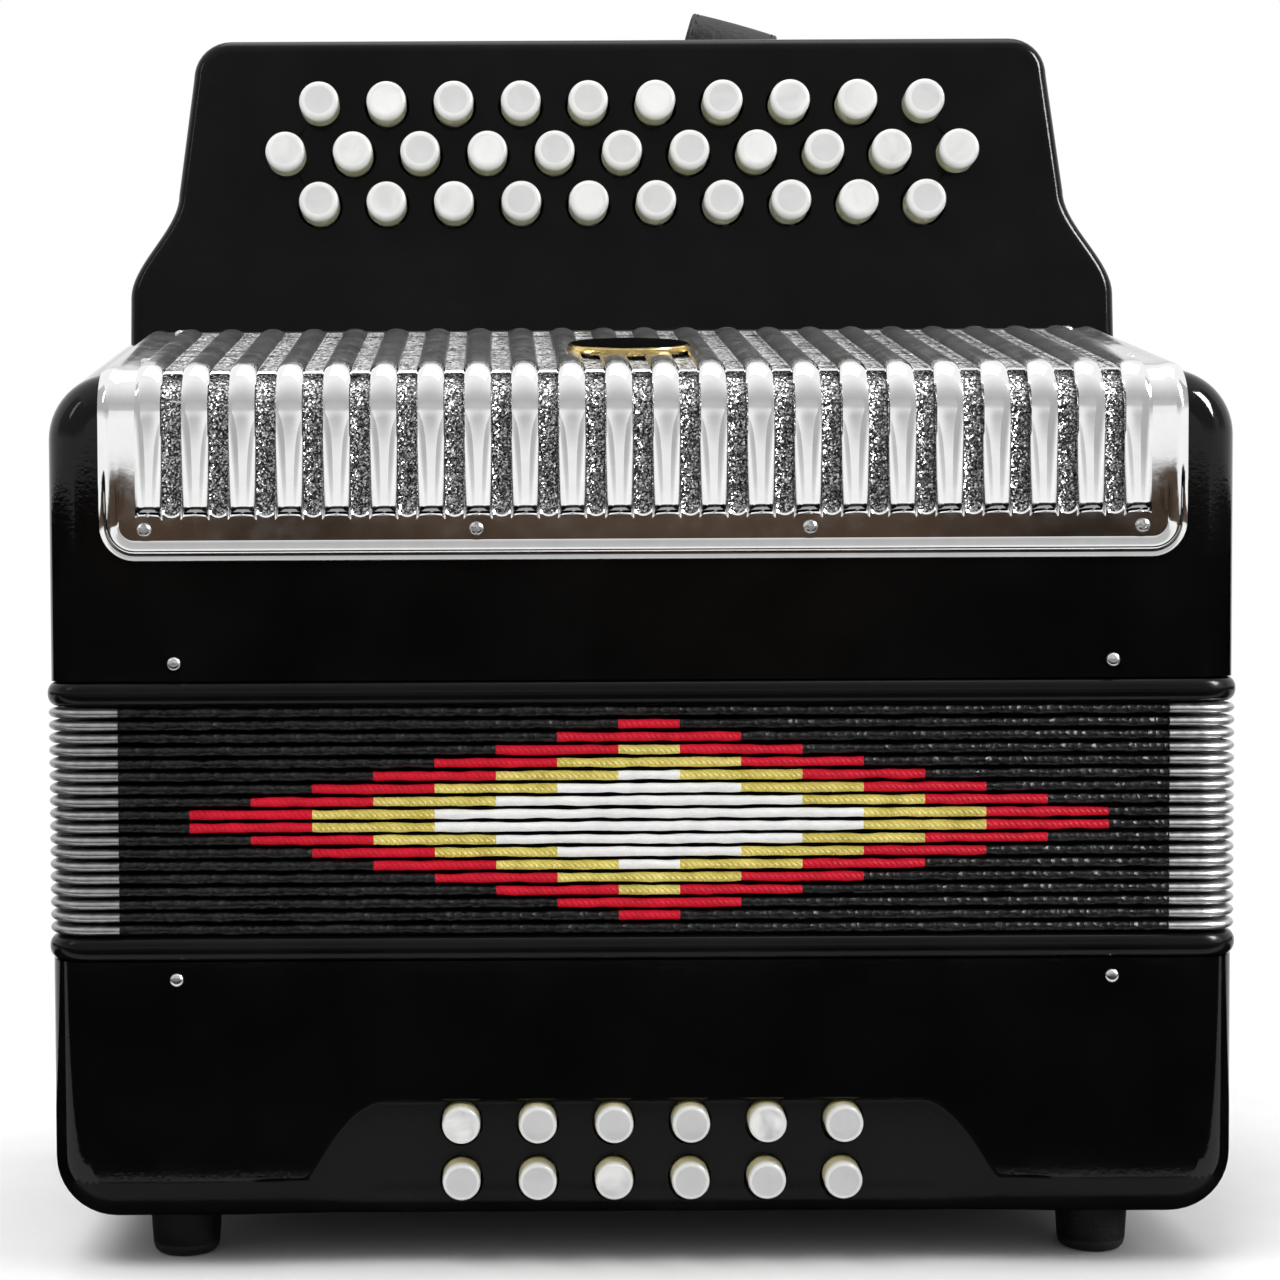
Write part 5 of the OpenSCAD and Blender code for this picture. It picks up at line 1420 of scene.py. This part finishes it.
HEAD_CURVE = ((1, 0.0), (1, 0.35), (0.93, 0.62), (0.75, 0.86), (0.5, 0.97), (0.24, 1))
SCREW_R, SCREW_H, SHANK_R, TIP_R, TIP_H = 1.8, 1.2, 1.05, 0.4, 0.8
CROSS_HALF, CROSS_REACH, CROSS_DEPTH = 0.28, 0.62, 0.55
PIN_X, PIN_RISE, PIN_SHANK = HALF_W - 33, 4.5, 10
GRILLE_SCREWS, GRILLE_SCREW_Z, GRILLE_SHANK = (126.5, 42.3), GRILLE_Z0 + 8, 5.7
SLOPE_SCREWS = (19.0, hypot(SLOPE_RISE, BOARD_Y - FRONT_Y) - 6.6)
AXLE_CHAMFER, TREBLE_AXLE, BASS_AXLE_ENDS = 0.6, (-107, 107), (-60.8, 64.8)
BRACKET_X, BRACKET_Y, BRACKET_Z = HALF_W - 24.5, 65.5, BOARD_Z + FIT
EYE_H, EYE_RIM, EYE_HOLE, EYE_HALF, EYE_EDGE, EYE_SIDES = 9, 7.0, 3.0, 1.5, 0.5, 40
BASE_IN, BASE_HALF_W, BASE_HALF_D, BASE_T, BASE_R = 7.5, 9, 7, 2, 3
BASE_SCREW_IN, BASE_SCREW_Y, BASE_SHANK = 6, 4, 5
STRAP_T, THUMB_X, THUMB_V, THUMB_OUT, THUMB_TILT = 2.5, 29, 74, 11.5, 16
RIVET_Y, RIVET_R, RIVET_H, RIVET_SHANK = -8.9, 2.4, 1.0, 5
THUMB_PLACE = BOARD_PLACE @ seat((THUMB_X, BOARD_T + FIT + THUMB_OUT, THUMB_V), THUMB_TILT, "Y")
HAND_SCREW_X, HAND_SCREW_Y, HAND_SCREW_Z, HAND_SHANK = 100, 12.5, BASS_Z0 - 2.7, 6


def screw(shape, at, shank, r=SCREW_R, h=SCREW_H, cross=True):
    """A domed head along local Z with a cross cut into it, and its shank."""
    rings = []
    for pr, ph in [(r * k, h * share) for k, share in HEAD_CURVE] + [(0.04, h)]:
        ring = []
        for i in range(32):
            x, y = pr * cos(2 * pi * i / 32), pr * sin(2 * pi * i / 32)
            near, far = sorted((abs(x), abs(y)))
            sunk = cross and near < CROSS_HALF and far < r * CROSS_REACH
            ring.append(at @ Vector((x, y, ph - (CROSS_DEPTH * h if sunk else 0.0))))
        rings.append(ring)
    shape.add(*loft(rings))
    shape.add(*revolve([(SHANK_R, 0.1), (SHANK_R, -shank + TIP_H), (TIP_R, -shank)], at, 16))


def pins(shape, z):
    for sx in (-1, 1):
        for y, turn in ((FRONT_Y, 90), (BACK_Y, -90)):
            screw(shape, seat((sx * PIN_X, y, z), turn), PIN_SHANK, cross=False)


def axle(shape, at, low, high):
    end = AXLE_R - 0.5
    profile = [(end, low), (AXLE_R, low + AXLE_CHAMFER), (AXLE_R, high - AXLE_CHAMFER), (end, high)]
    shape.add(*revolve(profile, seat((0, *at), 90, "Y"), 24))


def strap_eye(shape, middle):
    """An upright plate with a hole: round above, and straight down to its base below."""
    outer, inner = [], []
    flat = EYE_HALF - EYE_EDGE
    for dx, broken in ((-EYE_HALF, EYE_EDGE), (-flat, 0), (flat, 0), (EYE_HALF, EYE_EDGE)):
        rim, hole = EYE_RIM - broken, EYE_HOLE + broken
        edge, bore = [], []
        for i in range(EYE_SIDES):
            a = -pi / 2 + 2 * pi * i / EYE_SIDES
            rise = rim * sin(a) if sin(a) > 0 else -EYE_H * min(1, -sin(a) * 3)
            edge.append((middle + dx, BRACKET_Y + rim * cos(a), BRACKET_Z + EYE_H + rise))
            bore.append((middle + dx, BRACKET_Y + hole * cos(a), BRACKET_Z + EYE_H + hole * sin(a)))
        outer.append(edge)
        inner.append(bore)
    shape.add(*loft(outer + inner[::-1], True))


def strap_bracket(shape, sx):
    strap_eye(shape, sx * BRACKET_X)
    base = seat((sx * (BRACKET_X - BASE_IN), BRACKET_Y, BRACKET_Z))
    low, high = (-BASE_HALF_W, -BASE_HALF_D, 0), (BASE_HALF_W, BASE_HALF_D, BASE_T)
    shape.add(*rounded_block(low, high, BASE_R, base))
    for y in (-BASE_SCREW_Y, BASE_SCREW_Y):
        at = seat((sx * (BRACKET_X - BASE_SCREW_IN), BRACKET_Y + y, BRACKET_Z + BASE_T + SEAM))
        screw(shape, at, BASE_SHANK)


def treble_hardware():
    shape = Shape()
    for sx in (-1, 1):
        for x in GRILLE_SCREWS:
            screw(shape, seat((sx * x, FRONT_Y - SHEET_OUT, GRILLE_SCREW_Z), 90), GRILLE_SHANK)
        for s in SLOPE_SCREWS:
            at = on_path(slope_s(FRONT_Y + s * cos(SLOPE)), SHEET_OUT)
            screw(shape, seat((sx * (WINDOW_HALF + WALL), *at), degrees(SLOPE)), GRILLE_SHANK)
    pins(shape, TREBLE_Z0 + PIN_RISE)
    axle(shape, AXLE, *TREBLE_AXLE)
    for sx in (-1, 1):
        strap_bracket(shape, sx)
    screw(shape, THUMB_PLACE @ seat((0, RIVET_Y, 0), -90), RIVET_SHANK, RIVET_R, RIVET_H, False)
    return shape.build("treble_hardware", [STEEL], 35)


def bass_hardware():
    shape = Shape()
    pins(shape, BASS_Z1 - PIN_RISE)
    axle(shape, BASS_AXLE, *BASS_AXLE_ENDS)
    for sx in (-1, 1):
        for sy in (-1, 1):
            screw(shape, seat((sx * HAND_SCREW_X, sy * HAND_SCREW_Y, HAND_SCREW_Z), 180), HAND_SHANK)
    return shape.build("bass_hardware", [STEEL], 35)


fittings = treble_hardware()
piece(fittings, "treble_end", "steel_fittings", "treble_fittings")
fittings = bass_hardware()
piece(fittings, "bass_end", "steel_fittings", "bass_fittings")


# Straps, along stations of (point, normal, direction across)

STRAP_TOP = ((0, 1.08), (0.4, 1.06), (0.78, 1.0), (0.86, 0.93), (0.94, 1.0), (0.985, 0.8), (1, 0.25))
STRAP_UNDER = ((0.985, 0.0), (0.9, -0.04), (0, -0.04), (-0.9, -0.04), (-0.985, 0.0))
STRAP_SECTION = [(-o, h) for o, h in reversed(STRAP_TOP[1:])] + [*STRAP_TOP, *STRAP_UNDER]
SEAM_PLACE, STITCH_PITCH, STITCH_LENGTH, STITCH_SINK = 0.86, 4.2, 2.7, 0.18
STITCH_CURVE = ((-0.25, 0.12), (0.12, 0.3), (0.2, 0.34), (0.12, 0.3), (-0.25, 0.12))
THUMB_SPAN, THUMB_BEND_R, THUMB_HALF = 53.0, 10.25, 14
HAND_HALF, HAND_END, HAND_RAMP, HAND_HALF_W = 106, 12, 14, 25
HAND_HIGH, HAND_LOW, HAND_TAPER, HAND_TIP = 1.45, 6.25, 8, 0.8


def strap_rings(line, half_w, widths):
    """Rings of a strap, crowned a little, with rounded edges and a groove for each seam."""
    rings = []
    for (p, normal, across), width in zip(line, widths):
        rings.append([p + across * (o * half_w * width) + normal * ((h - 0.5) * STRAP_T)
                      for o, h in STRAP_SECTION])
    return rings


def stitches(shape, line, half_w):
    """Short raised threads along both edges of a strap."""
    marks = [0.0]
    for (p, _, _), (q, _, _) in zip(line, line[1:]):
        marks.append(marks[-1] + (q - p).length)
    total = marks[-1]

    def station(d):
        i = next(i for i in range(1, len(line)) if marks[i] >= d)
        t = (d - marks[i - 1]) / max(marks[i] - marks[i - 1], 1e-6)
        return [a.lerp(b, t) for a, b in zip(line[i - 1], line[i])]

    count = int(total / STITCH_PITCH)
    for side in (-1, 1):
        for c in range(count):
            start = (c + 0.5) * total / count - STITCH_LENGTH / 2
            rings = []
            for j, (lift, r) in enumerate(STITCH_CURVE):
                p, normal, across = station(min(max(start + STITCH_LENGTH * j / 4, 0), total))
                o, h = side * SEAM_PLACE * half_w, STRAP_T / 2 + lift - STITCH_SINK
                rings.append([p + across * u + normal * v for u, v in arc(o, h, r, steps(0, 360, 6)[:-1])])
            shape.add(*loft(rings), 1)


def thumb_line():
    """Stations round the thumb loop: up its free side, over the top, down the board's side and back."""
    half, r = THUMB_SPAN / 2, THUMB_BEND_R
    line = [((r, v), (1, 0)) for v in steps(-half, half, 10)]
    line += [((r * c, half + r * s), (c, s)) for c, s in arc(0, 0, 1, steps(0, 180, 16)[1:])]
    line += [((-r, v), (-1, 0)) for v in steps(half, -half, 10)[1:]]
    line += [((r * c, r * s - half), (c, s)) for c, s in arc(0, 0, 1, steps(180, 360, 16)[1:-1])]
    turn = THUMB_PLACE.to_3x3()
    across = turn @ Vector((1, 0, 0))
    return [(THUMB_PLACE @ Vector((0, *p)), turn @ Vector((0, *normal)), across) for p, normal in line]


def hand_line():
    """Stations along the hand strap: flat ends under the casing, and the middle lowered."""
    points = []
    for x in steps(-HAND_HALF, HAND_HALF, 64):
        t = smooth((HAND_HALF - HAND_END - abs(x)) / HAND_RAMP)
        points.append(Vector((x, 0, lerp(BASS_Z0 - HAND_HIGH, BASS_Z0 - HAND_LOW, t))))
    line = []
    for i, p in enumerate(points):
        d = (points[min(i + 1, len(points) - 1)] - points[max(i - 1, 0)]).normalized()
        line.append((p, Vector((d.z, 0, -d.x)), Vector((0, 1, 0))))
    return line


def hand_width(x):
    """Share of the full width, less towards the rounded ends."""
    return HAND_TIP + (1 - HAND_TIP) * sqrt(min(max((HAND_HALF - abs(x)) / HAND_TAPER, 0), 1))


line = thumb_line()
shape = Shape().add(*loft(strap_rings(line, THUMB_HALF, [1] * len(line)), True))
stitches(shape, line + line[:1], THUMB_HALF)
thumb = shape.build("thumb_loop", [LEATHER, THREAD], 40)
piece(thumb, "treble_end", "strap_leather", "thumb_strap")

line = hand_line()
shape = Shape().add(*loft(strap_rings(line, HAND_HALF_W, [hand_width(p.x) for p, _, _ in line])))
stitches(shape, line[2:-2], HAND_HALF_W)
hand = shape.build("hand_strap_leather", [LEATHER, THREAD], 40)
piece(hand, "bass_end", "strap_leather", "hand_strap")


# Feet: turned rubber with a rounded tread and a screw in its well

FOOT_X, FOOT_Y = HALF_W - 31.5, HALF_D - 27
FOOT_PROFILE = ((2.2, 4.5), (2.2, 0.9), (2.8, 0.25), (4.0, 0.0), (6.4, 0.0), (7.7, 0.4), (8.5, 1.3),
                (8.85, 2.6), (9.05, 5.5), (9.3, 9.4), (9.5, 12.0), (9.6, 13.1), (9.5, 13.95))
FOOT_SCREW = ((2.0, 4.2), (2.0, 3.4), (1.4, 2.9), (0.2, 2.8))

feet = Shape()
for sx in (-1, 1):
    for sy in (-1, 1):
        at = seat((sx * FOOT_X, sy * FOOT_Y, 0))
        feet.add(*revolve(FOOT_PROFILE, at, 48))
        feet.add(*revolve(FOOT_SCREW, at, 20), 1)
feet = feet.build("rubber_feet", [RUBBER, STEEL], 35)
piece(feet, "bass_end", "foot_rubber", "feet")


# Nodes that stay as they are, in wood

for node in ("treble_soundboard", "bass_soundboard"):
    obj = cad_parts[node]
    obj.data.materials.clear()
    obj.data.materials.append(WOOD)
